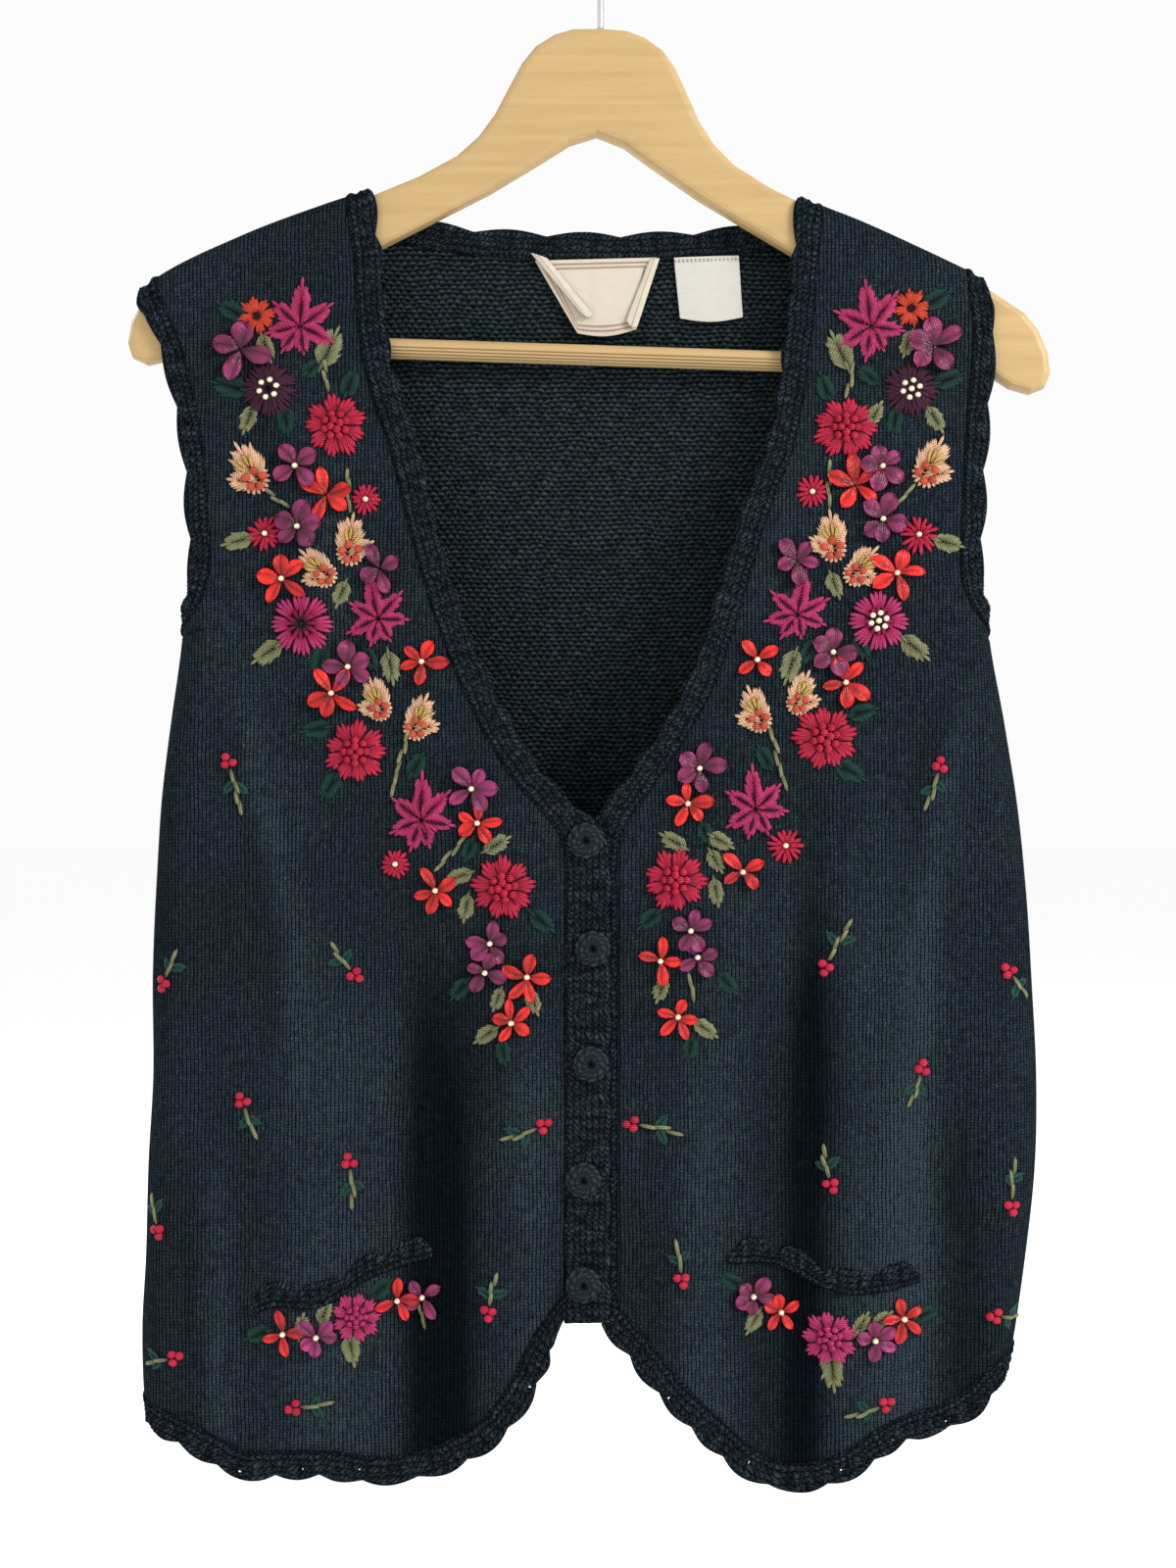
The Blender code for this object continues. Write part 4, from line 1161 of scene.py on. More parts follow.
def wall_pile(outer: Grid, inner: Grid, place: Grid, tint: Grid, closed: bool = False,
              skipped: Grid | None = None, marks: tuple[int, int, int] = (0, 0, 0)) -> Pile:
    """Closed wall between two grids of points.

    Args:
        outer: points of the outer side, rows by columns.
        inner: points of the inner side.
        place: texture places, rows by columns.
        tint: colours, rows by columns.
        closed: whether the last row joins the first.
        skipped: mask of the cells that stay open, or none.
        marks: material numbers of the outer side, the inner side and the rims.

    Returns:
        A pile with the wall.
    """
    rows, columns = outer.shape[:2]
    faces = grid_faces(rows, columns, closed)
    faces = faces.reshape(-1, 4) if skipped is None else faces[~skipped]
    flat = outer.reshape(-1, 3)
    inside = inner.reshape(-1, 3)
    normals = np.cross(flat[faces[:, 2]] - flat[faces[:, 0]], flat[faces[:, 3]] - flat[faces[:, 1]])
    away = (flat - inside)[faces[:, 0]]
    if np.sum(normals * away) < 0.0:
        faces = faces[:, ::-1]
    used = np.unique(faces)
    number = np.zeros(rows * columns, dtype=np.int64)
    number[used] = np.arange(len(used))
    out_faces, in_faces, rims = closed_wall(number[faces], len(used))
    pile = Pile()
    places = place.reshape(-1, 2)[used]
    tints = tint.reshape(-1, 3)[used]
    both = np.concatenate((flat[used], inside[used]))
    pile.add(both, np.concatenate((places, places)), np.concatenate((tints, tints)),
             out_faces, marks[0])
    pile.more_faces(in_faces, marks[1], 0)
    pile.more_faces(rims, marks[2], 0)
    return pile


@dataclass
class Panels:
    """The three knitted panels."""

    cloth: Cloth
    knit: Knit = field(default_factory=Knit)
    ripple: float = 0.25
    ripple_lengths: tuple[float, float, float] = (9.0, 31.0, 47.0)
    # Weights of the painted fold shade: crests by their height, slopes by how they face the key
    # light.
    painted_crest_light: float = 0.065
    painted_slope_light: float = 0.42
    slope_step: float = 3.0

    def __post_init__(self) -> None:
        """Make the two knit materials."""
        self.materials = (self.knit.outside(), self.knit.inside())

    def painted_fold_shade(self, side: Side, across: Grid, height: Grid) -> Grid:
        """Painted fold shade: paler on the folds' crests and on slopes that fall towards +X, the
        key light's side, and darker in the troughs.
        """
        folds = self.cloth.form.folds(side, across, height)
        slope = self.cloth.form.folds(side, across + self.slope_step, height) - folds
        return np.clip(0.5 + self.painted_crest_light * folds - self.painted_slope_light * slope, 0.0, 1.0)

    def shell(self, name: str, side: Side, across: Grid, height: Grid, skipped: Grid | None,
              node: str) -> bpy.types.Object:
        """Thin wall on a grid of places, raised under the large flowers outside.

        Its outside also ripples slightly: the product of two sine waves.

        Args:
            name: piece name.
            side: which surface.
            across: places of the grid's points, measured on the cloth.
            height: their heights.
            skipped: mask of the cells that stay open, or none.
            node: CAD node whose place the piece takes.

        Returns:
            The new object.
        """
        form = self.cloth.form
        normals = form.normals(side, across, height)
        wide, slanted, tall = self.ripple_lengths
        ripple = self.ripple * np.sin(across / wide + height / slanted) * np.sin(height / tall)
        outer = form.laid(side, across, height, ripple)
        inner = form.surface(side, across, height) - normals * form.knit_wall
        place = np.stack((across, height), axis=-1)
        # The stored colour is painted fold shade, which the knit's outside reads as its level.
        tint = greys(self.painted_fold_shade(side, across, height))
        pile = wall_pile(outer, inner, place, tint, skipped=skipped, marks=(0, 1, 0))
        return pile.build(name, self.materials, "knit", node)

    def build(self) -> list[bpy.types.Object]:
        """Build the fronts and the back."""
        made = []
        for side in (Side.RIGHT, Side.LEFT):
            across, height = self.cloth.front(side)
            name = f"knit_{side.value}_front"
            made.append(self.shell(name, side, across, height, None, f"{side.value}_front"))
        across, height, low, high = self.cloth.back()
        skipped = np.zeros((across.shape[0] - 1, across.shape[1] - 1), dtype=bool)
        skipped[: self.cloth.fold_steps - 1, low:high] = True
        made.append(self.shell("knit_back", Side.BACK, across, height, skipped, "back_panel"))
        return made


@dataclass
class Edgings:
    """Crochet bands along the panels' edges, each a wall with the stitches as its relief."""

    cloth: Cloth
    along_step: float = 0.85
    width_steps: int = 11
    band_width: float = 11.0
    placket_width: float = 20.4
    placket_top: float = -478.0
    placket_foot: float = -698.5
    placket_ease: float = 26.0
    end_ease: float = 25.0
    scallop: float = 2.6
    pitch: float = 22.0
    armhole_pitch: float = 33.0
    armhole_gap: float = 0.6
    neck_pitch: float = 36.0
    relief: float = 1.5
    chain_pitch: float = 3.1
    chain_place: float = 1.9
    row_pitch: float = 4.4
    fan: float = 8.5
    rim_width: float = 3.2
    rim_ease: float = 1.6
    rim_pitch: float = 2.6
    round_from: float = 0.86
    seam_width: float = 1.5
    hole_pitch: float = 38.0
    hole_margin: int = 14
    overlap: float = 1.3
    underlap_depth: float = 0.7
    pocket_pitch: float = 22.0
    pocket_width: float = 7.0
    pocket_rise: float = 6.0

    def __post_init__(self) -> None:
        """Make the crochet materials."""
        self.material = Crochet().material()
        self.button_material = Crochet().material(False)

    @staticmethod
    def square_to(across: Grid, height: Grid, sign: float) -> tuple[Grid, Grid]:
        """Directions on the cloth square to an edge; sign chooses the side.

        Args:
            across: places across, measured on the cloth.
            height: their heights.
            sign: which of the two sides.

        Returns:
            Directions, across and height.
        """
        step_across = np.gradient(across)
        step_height = np.gradient(height)
        length = np.hypot(step_across, step_height)
        return -sign * step_height / length, sign * step_across / length

    def eased(self, across: Grid, away: tuple, end: int, direction: tuple) -> tuple:
        """Turn an edge's directions to a given one at one of its ends.

        Args:
            across: the edge's places.
            away: its directions, across and height.
            end: which end, 0 or -1.
            direction: the direction wanted there.

        Returns:
            The new directions, across and height.
        """
        share = smoothstep(np.abs(across - across[end]) / self.end_ease)
        new = [goal + (part - goal) * share for part, goal in zip(away, direction)]
        size = np.hypot(*new)
        return tuple(part / size for part in new)

    def seam_direction(self, side: Side, sign: float, height: float) -> tuple[float, float]:
        """Direction down a side seam, on the cloth.

        Args:
            side: which surface.
            sign: -1 on the wearer's right, 1 elsewhere.
            height: height of the place.

        Returns:
            Direction of length one, across and height.
        """
        step = 10.0
        form = self.cloth.form
        drift = form.outer_edge(side, sign, height - step) - form.outer_edge(side, sign, height)
        length = math.hypot(float(drift), step)
        return float(drift) / length, -step / length

    def moved(self, across: Grid, height: Grid, away: tuple, distance: Grid) -> tuple:
        """Move an edge on the cloth; near the shoulder line it stays as far below that line.

        Args:
            across: places across, measured on the cloth.
            height: their heights.
            away: directions in which to move, across and height.
            distance: how far to move.

        Returns:
            The new places and heights.
        """
        form = self.cloth.form
        below = form.ridge(across) - height
        keep = np.clip(1.0 - (below - form.fold_radius) / form.keep_fade, 0.0, 1.0)
        new_across = across + away[0] * distance
        drop = keep * (form.ridge(new_across) - form.ridge(across))
        return new_across, height + away[1] * distance + drop

    def strip(self, across: Grid, height: Grid, away: tuple, width: Grid, pitch: float,
              gap: float) -> tuple[Grid, Grid, Grid, Grid, Grid]:
        """Grid of a band along an edge, with a scalloped outer edge.

        The scallops are the size of a sine wave: width + rise times |sin(pi n length)|.

        Args:
            across: edge's places.
            height: edge's heights.
            away: directions in which the band lies.
            width: band's width without the scallops.
            pitch: length of a scallop.
            gap: gap at the seam.

        Returns:
            Across, height, length along the edge, distance from it, and phase in scallops.
        """
        length = length_along(across, height)
        fine = np.linspace(0.0, length[-1], max(2, round(length[-1] / self.along_step)) + 1)
        read = [np.interp(fine, length, part) for part in (across, height, *away, width)]
        size = np.hypot(read[2], read[3])
        count = max(1, round(length[-1] / pitch))
        phase = count * fine / length[-1]
        reach = read[4] + self.scallop * np.abs(np.sin(math.pi * phase))
        share = np.linspace(0.0, 1.0, self.width_steps)[None, :]
        distance = gap - self.overlap + (reach[:, None] - gap + self.overlap) * share
        direction = (read[2][:, None] / size[:, None], read[3][:, None] / size[:, None])
        edge = (read[0][:, None], read[1][:, None])
        new_across, new_height = self.moved(*edge, direction, distance)
        along = np.broadcast_to(fine[:, None], distance.shape)
        return new_across, new_height, along, distance, np.broadcast_to(phase[:, None], along.shape)

    def stitches(self, along: Grid, distance: Grid, phase: Grid, pitch: float) -> Grid:
        """Height of the stitches, 0 to 1.

        Next to the seam runs a chain of leaning loops. Beyond it, tall stitches fan out from
        the foot of each scallop, and a second chain of small loops follows the outer edge.
        Each is the size of a sine wave, eased in and out.

        Args:
            along: length along the edge.
            distance: distance from the edge.
            phase: length along the edge in scallops.
            pitch: length of a scallop.

        Returns:
            The height at each point.
        """
        chain = np.abs(np.sin(math.pi * (along / self.chain_pitch + distance * 0.14)))
        chain = chain * bell(distance, self.chain_place, self.chain_place)
        middle = (phase % 1.0 - 0.5) * pitch
        turn = np.arctan2(middle, distance + 0.35 * pitch)
        tall = np.abs(np.sin(turn * self.fan + 0.9 * np.sin(along / 5.0)))
        tall = tall * smoothstep((distance - 2.6) / 1.8)
        rows = 0.72 + 0.28 * np.cos((distance - self.chain_place) * 2.0 * math.pi / self.row_pitch)
        rim = smoothstep((distance - distance[:, -1:] + self.rim_width) / self.rim_ease)
        loops = np.abs(np.sin(math.pi * (along / self.rim_pitch - distance * 0.2)))
        uneven = 0.8 + 0.2 * np.sin(along * 0.83 + 2.0 * np.sin(along * 0.21))
        return np.clip((np.maximum(chain, tall * rows) * (1.0 - rim) + loops * rim) * uneven, 0, 1)

    def holes(self, rows: int, columns: int) -> Grid:
        """Mask of a band's cells that stay open, with one cell for each small hole.

        Args:
            rows: points along the band.
            columns: points over its width.

        Returns:
            The mask, one row and one column shorter than the points.
        """
        mask = np.zeros((rows - 1, columns - 1), dtype=bool)
        step = round(self.hole_pitch / self.along_step)
        places = np.arange(self.hole_margin, rows - self.hole_margin, step)
        shift = np.round((self.hole_margin - 1) * np.sin(places * 1.7)).astype(int)
        mask[places + shift, 4 + (places % 4)] = True
        return mask

    def band(self, node: str, side: Side, strip: tuple, pitch: float,
             other: tuple | None = None) -> bpy.types.Object:
        """Wall of a band, or of a ring made of a front strip and a back strip.

        Its outer edge is a quarter circle's fall, and a bell lifts it where it laps the seam.

        Args:
            node: CAD node whose place the piece takes.
            side: surface that the strip lies on.
            strip: the strip's grids.
            pitch: length of a scallop.
            other: grids of the back's strip, where the piece is a ring.

        Returns:
            The new object.
        """
        form = self.cloth.form
        sides = [(side, strip)] if other is None else [(side, strip), (Side.BACK, other)]
        walls = []
        for part_side, (across, height, along, distance, phase) in sides:
            high = self.stitches(along, distance, phase, pitch)
            past = (distance / distance[:, -1:] - self.round_from) / 0.14
            edge = np.sqrt(np.clip(1.0 - np.clip(past, 0.0, 1.0) ** 2, 0.0, 1.0))
            seam = bell(distance, 0.0, self.seam_width)
            lift = (high * self.relief - 0.35) * edge - (1.0 - edge) * 0.7 + 0.75 * seam
            inner = -form.band_wall + (1.0 - edge) * 0.6 + 0.3 * high
            normals = form.normals(part_side, across, height)
            points = form.surface(part_side, across, height)
            if node == "front_band_left":
                points = points - normals * self.underlap_depth
            walls.append((
                points + normals * lift[..., None], points + normals * inner[..., None],
                np.stack((along, distance), axis=-1), greys(high),
            ))
        if other is not None:
            walls[0] = tuple(part[::-1][:-1] for part in walls[0])
        holes = self.holes(*strip[0].shape) if node.startswith("hem") else None
        joined = [np.concatenate(parts) for parts in zip(*walls)]
        pile = wall_pile(*joined, closed=other is not None, skipped=holes)
        return pile.build(f"crochet_{node}", (self.material,), "crochet", node)

    def front_band(self, side: Side) -> bpy.types.Object:
        """Neck edging and placket of one front, from the shoulder to the hem.

        Args:
            side: which surface.

        Returns:
            The new object.
        """
        sign = -side.sign
        grid_across, grid_height = self.cloth.front(side)
        across = np.append(grid_across[:, 0], grid_across[-1, 0])
        height = np.append(grid_height[:, 0], self.placket_foot)
        away_across, away_height = self.square_to(across, height, sign)
        level = np.arange(len(across)) < self.cloth.fold_steps
        away_height = np.where(level | (height < self.placket_top), 0.0, away_height)
        share = smoothstep((self.placket_top + self.placket_ease - height) / self.placket_ease)
        width = self.band_width + (self.placket_width - self.band_width) * share
        width = width - 0.5 * self.scallop * share
        away = (np.where(away_height == 0.0, sign, away_across), away_height)
        strip = self.strip(across, height, away, width, self.pitch, self.cloth.form.seam_gap)
        return self.band(f"front_band_{side.value}", side, strip, self.pitch)

    def hem(self, side: Side) -> bpy.types.Object:
        """Edging along the hem of a panel.

        Args:
            side: which surface.

        Returns:
            The new object.
        """
        grid = self.cloth.back() if side is Side.BACK else self.cloth.front(side)
        across = grid[0][-1]
        height = grid[1][-1]
        away = self.square_to(across, height, -side.sign)
        if side is Side.RIGHT:
            away = self.eased(across, away, 0, (0.0, -1.0))
        elif side is Side.BACK:
            away = self.eased(across, away, 0, self.seam_direction(side, -1.0, height[0]))
        away = self.eased(across, away, -1, self.seam_direction(side, side.sign, height[-1]))
        width = np.full(len(across), self.band_width)
        strip = self.strip(across, height, away, width, self.pitch, self.cloth.form.seam_gap)
        return self.band(f"hem_edging_{side.value}", side, strip, self.pitch)

    def armhole_half(self, side: Side, sign: float) -> tuple:
        """Strip along the armhole edge of one panel, from the shoulder to the underarm.

        Args:
            side: which surface.
            sign: -1 on the wearer's right, 1 elsewhere.

        Returns:
            The strip's grids.
        """
        if side is Side.BACK:
            grid_across, grid_height, _, _ = self.cloth.back()
            column = 0 if sign < 0.0 else -1
        else:
            grid_across, grid_height = self.cloth.front(side)
            column = -1
        rows = self.cloth.fold_steps + len(self.cloth.arm_rows)
        across = grid_across[:rows, column]
        height = grid_height[:rows, column]
        away_across, away_height = self.square_to(across, height, sign)
        level = np.arange(rows) < self.cloth.fold_steps
        away_across = np.where(level, sign, away_across)
        away_height = np.where(level, 0.0, away_height)
        away_across[-1] = 0.0
        away_height[-1] = 1.0
        width = np.full(rows, self.cloth.form.armhole_band - self.scallop)
        away = (away_across, away_height)
        return self.strip(across, height, away, width, self.armhole_pitch, self.armhole_gap)

    def armhole(self, side: Side) -> bpy.types.Object:
        """Closed ring of an armhole.

        Args:
            side: which surface.

        Returns:
            The new object.
        """
        front = self.armhole_half(side, side.sign)
        back = self.armhole_half(Side.BACK, side.sign)
        return self.band(f"armhole_edging_{side.value}", side, front, self.armhole_pitch, back)

    def back_neck(self) -> bpy.types.Object:
        """Edging of the back neck, down from one shoulder, across and up to the other."""
        grid_across, grid_height, low, high = self.cloth.back()
        fold = self.cloth.fold_steps - 1
        edges = []
        for grid in (grid_across, grid_height):
            edges.append(np.concatenate((
                grid[:fold, low], grid[fold, low:high + 1], grid[:fold, high][::-1],
            )))
        away_across, away_height = self.square_to(*edges, 1.0)
        away_across[:fold + 1] = 1.0
        away_height[:fold + 1] = 0.0
        away_across[-fold - 1:] = -1.0
        away_height[-fold - 1:] = 0.0
        width = np.full(len(edges[0]), self.band_width)
        away = (away_across, away_height)
        strip = self.strip(*edges, away, width, self.neck_pitch, self.cloth.form.seam_gap)
        return self.band("neck_edging_back", Side.BACK, strip, self.neck_pitch)

    def pocket(self, side: Side) -> bpy.types.Object:
        """Scalloped edging of a welt pocket, laid on its front and plump in the middle.

        Args:
            side: which surface.

        Returns:
            The new object.
        """
        table = POCKET_RIGHT if side is Side.RIGHT else POCKET_LEFT
        across = np.linspace(table[0][0], table[-1][0], 130)[:, None]
        height = curve_through(table, across)
        length = length_along(across[:, 0], height[:, 0])
        count = max(1, round(length[-1] / self.pocket_pitch))
        phase = (count * length / length[-1])[:, None]
        ends = smoothstep(length / 7.0) * smoothstep((length[-1] - length) / 7.0)
        tall = self.pocket_width + self.pocket_rise * np.abs(np.sin(math.pi * phase)) ** 0.7
        tall = tall - 3.0 * (1.0 - ends[:, None])
        share = np.linspace(0.0, 1.0, 14)[None, :]
        distance = tall * share
        across = np.broadcast_to(across, distance.shape)
        along = np.broadcast_to(length[:, None], distance.shape)
        scallops = np.broadcast_to(phase, along.shape)
        high = self.stitches(along, distance, scallops, self.pocket_pitch)
        plump = np.sqrt(np.clip(1.0 - (2.0 * share - 1.0) ** 4, 0.0, 1.0))
        height = height + distance
        lift = 0.75 + (1.1 + high * self.relief) * plump
        points = self.cloth.form.surface(side, across, height)
        normals = self.cloth.form.normals(side, across, height)
        outer = points + normals * lift[..., None]
        inner = points + normals * 0.5
        place = np.stack((along, distance), axis=-1)
        node = f"pocket_edging_{side.value}"
        pile = wall_pile(outer, inner, place, greys(high))
        return pile.build(f"crochet_{node}", (self.material,), "crochet", node)

    def button(self, number: int, across: float, height: float) -> bpy.types.Object:
        """Covered button: the turned profile with rounds of stitches that lean round it.

        The stitches' height is a wave round the button times a wave from its middle out,
        both uneven, and a bell takes a dimple out of the middle. The stored level follows the
        height, and painted shade halves it towards the dimple.

        Args:
            number: the button's number from the top.
            across: place of its middle.
            height: height of its middle.

        Returns:
            The new object.
        """
        seat = self.cloth.form.surface(Side.RIGHT, across, height)
        seat = seat - np.array((0.0, self.cloth.form.laid_gap, 0.0))
        profile = np.array(BUTTON_PROFILE).T
        length = length_along(*profile)
        fine = np.linspace(0.0, 1.0, 26)
        radius, rise = (np.interp(fine, length / length[-1], part)[:, None] for part in profile)
        turn = full_turn(72)[None, :]
        rounds = np.sqrt(np.clip(radius / profile[0].max(), 0.0, 1.0))
        ribs = np.abs(np.sin(6.0 * turn + radius * 0.9 + 0.9 * np.sin(2.0 * turn + radius * 0.7)))
        rings = 0.62 + 0.38 * np.cos(radius * 2.0 * math.pi / 2.7 + 0.8 * np.sin(3.0 * turn))
        high = ribs * rings * rounds
        dimple = 1.5 * bell(radius, 0.0, 1.3)
        rise = rise + high * 1.2 - 0.5 - dimple
        radius = radius + high * 0.35 * (radius > 6.0)
        x = radius * np.cos(turn)
        z = radius * np.sin(turn)
        points = np.stack((seat[0] + x, seat[1] - rise, seat[2] + z), axis=-1)
        # Painted shade: the stored level is the stitches' height, halved towards the dimple in the
        # middle.
        tint = greys(0.26 + 0.70 * high) * (0.5 + 0.5 * smoothstep(radius / 2.5))[..., None]
        rows, columns = x.shape
        pile = Pile()
        pile.add(points, np.stack((x, z), axis=-1), tint, grid_faces(rows, columns, False, True))
        pile.more_faces(np.arange(columns)[None, :] + (rows - 1) * columns, 0, 0)
        node = f"button_{number}"
        return pile.build(f"crochet_{node}", (self.button_material,), "crochet", node)

    def build(self) -> list[bpy.types.Object]:
        """Build every edging and button."""
        fronts = (Side.RIGHT, Side.LEFT)
        made = [self.front_band(side) for side in fronts]
        made += [self.armhole(side) for side in fronts]
        made += [self.hem(side) for side in Side]
        made.append(self.back_neck())
        made += [self.pocket(side) for side in fronts]
        for number, (across, height) in enumerate(BUTTON_PLACES, start=1):
            made.append(self.button(number, across, height))
        return made


MAGENTA = (0.36, 0.013, 0.082)
MAGENTA_LIGHT = (0.56, 0.052, 0.175)
CRIMSON = (0.32, 0.007, 0.027)
CRIMSON_LIGHT = (0.62, 0.026, 0.072)
SCARLET = (0.76, 0.018, 0.012)
SCARLET_DEEP = (0.36, 0.005, 0.004)
VERMILION = (0.64, 0.062, 0.028)
PLUM_SATIN = (0.075, 0.006, 0.026)
PLUM_LIGHT = (0.240, 0.019, 0.096)
PINK_SATIN = (0.13, 0.006, 0.048)
PINK_LIGHT = (0.34, 0.028, 0.140)
DARK_PLUM = (0.034, 0.008, 0.019)
PLUM_TIP = (0.062, 0.015, 0.034)
PEACH = (0.72, 0.37, 0.20)
PEACH_LIGHT = (0.86, 0.55, 0.35)
YELLOW = (0.78, 0.52, 0.13)
CORAL = (0.68, 0.095, 0.060)
OLIVE = (0.160, 0.165, 0.072)
OLIVE_LIGHT = (0.30, 0.31, 0.16)
FOREST = (0.004, 0.022, 0.018)
FOREST_LIGHT = (0.013, 0.066, 0.052)
SPRIG_GREEN = (0.026, 0.100, 0.080)
PEARL = (0.78, 0.70, 0.47)
BERRY = (0.62, 0.024, 0.062)


class Motif(Enum):
    """Embroidered motifs."""

    MAPLE = "maple"
    MUM = "mum"
    DAISY = "daisy"
    ORANGE_DAISY = "orange daisy"
    BIG_DAISY = "big daisy"
    BEADED_DAISY = "beaded daisy"
    POCKET_MUM = "pocket mum"
    PANSY = "pansy"
    FULL_PANSY = "full pansy"
    RED_RIBBON = "red ribbon"
    PLUM_RIBBON = "plum ribbon"
    PINK_RIBBON = "pink ribbon"
    RED_OPEN = "red ribbon without bead"
    PLUM_OPEN = "plum ribbon without bead"
    BUD = "bud"
    OLIVE_LEAF = "olive leaf"
    DARK_LEAF = "dark leaf"
    STEM = "stem"
    SPRIG = "sprig"


@dataclass(frozen=True)
class Photo:
    """Where a pixel of the photo lies on the cloth's front, in millimetres."""

    pixel: float = 0.4686
    middle_across: float = 600.0
    middle_down: float = 800.0
    camera_across: float = -5.8
    camera_height: float = -441.0

    def across(self, pixel_across: float) -> float:
        """Distance from the centre line."""
        return self.camera_across + (pixel_across - self.middle_across) * self.pixel

    def height(self, pixel_down: float) -> float:
        """Height under the hook's inside top."""
        return self.camera_height - (pixel_down - self.middle_down) * self.pixel


M = Motif
RIGHT_SPRAY = (
    # motif, place in the photo's pixels across and down, size in mm, heading in degrees
    (M.DARK_LEAF, 230, 309, 17, 150), (M.ORANGE_DAISY, 257, 315, 18, 10),
    (M.OLIVE_LEAF, 267, 350, 15, 290), (M.MAPLE, 302, 327, 38, 82),
    (M.PLUM_OPEN, 240, 350, 26, 70), (M.DARK_LEAF, 228, 388, 20, 165),
    (M.OLIVE_LEAF, 333, 347, 22, 66), (M.STEM, 329, 380, 14, 100),
    (M.DARK_LEAF, 354, 384, 16, 70), (M.DARK_LEAF, 316, 368, 14, 40),
    (M.PANSY, 270, 392, 27, 0), (M.OLIVE_LEAF, 248, 424, 15, 250),
    (M.DARK_LEAF, 288, 426, 16, 280), (M.MUM, 339, 430, 31, 20),
    (M.BUD, 251, 476, 26, 130), (M.PLUM_RIBBON, 298, 472, 21, 40),
    (M.STEM, 353, 500, 20, 95), (M.RED_OPEN, 330, 502, 25, 20),
    (M.DAISY, 371, 507, 15, 0), (M.STEM, 281, 507, 14, 145),
    (M.OLIVE_LEAF, 237, 550, 16, 195), (M.PLUM_RIBBON, 301, 535, 22, 80),
    (M.DAISY, 267, 542, 17, 15), (M.BUD, 356, 552, 24, 75),
    (M.OLIVE_LEAF, 346, 606, 14, 250), (M.BUD, 323, 579, 22, 145),
    (M.RED_RIBBON, 285, 589, 24, 100), (M.PLUM_OPEN, 386, 579, 20, 120),
    (M.OLIVE_LEAF, 269, 666, 18, 215), (M.DARK_LEAF, 325, 674, 17, 250),
    (M.BIG_DAISY, 306, 636, 32, 0), (M.MAPLE, 385, 631, 33, 98),
    (M.DARK_LEAF, 377, 673, 13, 300), (M.OLIVE_LEAF, 398, 682, 17, 280),
    (M.RED_RIBBON, 430, 675, 20, 60), (M.PLUM_RIBBON, 354, 680, 20, 30),
    (M.RED_RIBBON, 337, 707, 23, 50), (M.STEM, 408, 775, 32, 255),
    (M.BUD, 384, 715, 21, 120), (M.BUD, 427, 734, 22, 60),
    (M.DARK_LEAF, 320, 744, 16, 190), (M.DARK_LEAF, 425, 780, 15, 60),
    (M.DARK_LEAF, 335, 803, 16, 235), (M.MUM, 362, 767, 30, 0),
    (M.MAPLE, 430, 837, 36, 90), (M.PINK_RIBBON, 481, 805, 20, 75),
    (M.STEM, 462, 868, 22, 230), (M.DAISY, 403, 882, 14, 0),
    (M.OLIVE_LEAF, 508, 861, 15, 30), (M.DARK_LEAF, 478, 868, 13, 250),
    (M.RED_RIBBON, 487, 840, 20, 10), (M.OLIVE_LEAF, 467, 895, 14, 200),
    (M.OLIVE_LEAF, 475, 928, 14, 260), (M.RED_RIBBON, 444, 909, 20, 40),
    (M.DARK_LEAF, 554, 941, 16, 320), (M.MUM, 514, 906, 31, 10),
    (M.PLUM_RIBBON, 500, 963, 18, 15), (M.DARK_LEAF, 468, 1011, 14, 230),
    (M.PLUM_RIBBON, 495, 993, 17, 60), (M.RED_RIBBON, 538, 997, 20, 0),
    (M.OLIVE_LEAF, 507, 1021, 12, 250), (M.OLIVE_LEAF, 545, 1024, 13, 290),
    (M.RED_RIBBON, 522, 1044, 18, 30), (M.OLIVE_LEAF, 495, 1057, 14, 215),
    (M.DARK_LEAF, 514, 1075, 13, 280),
)
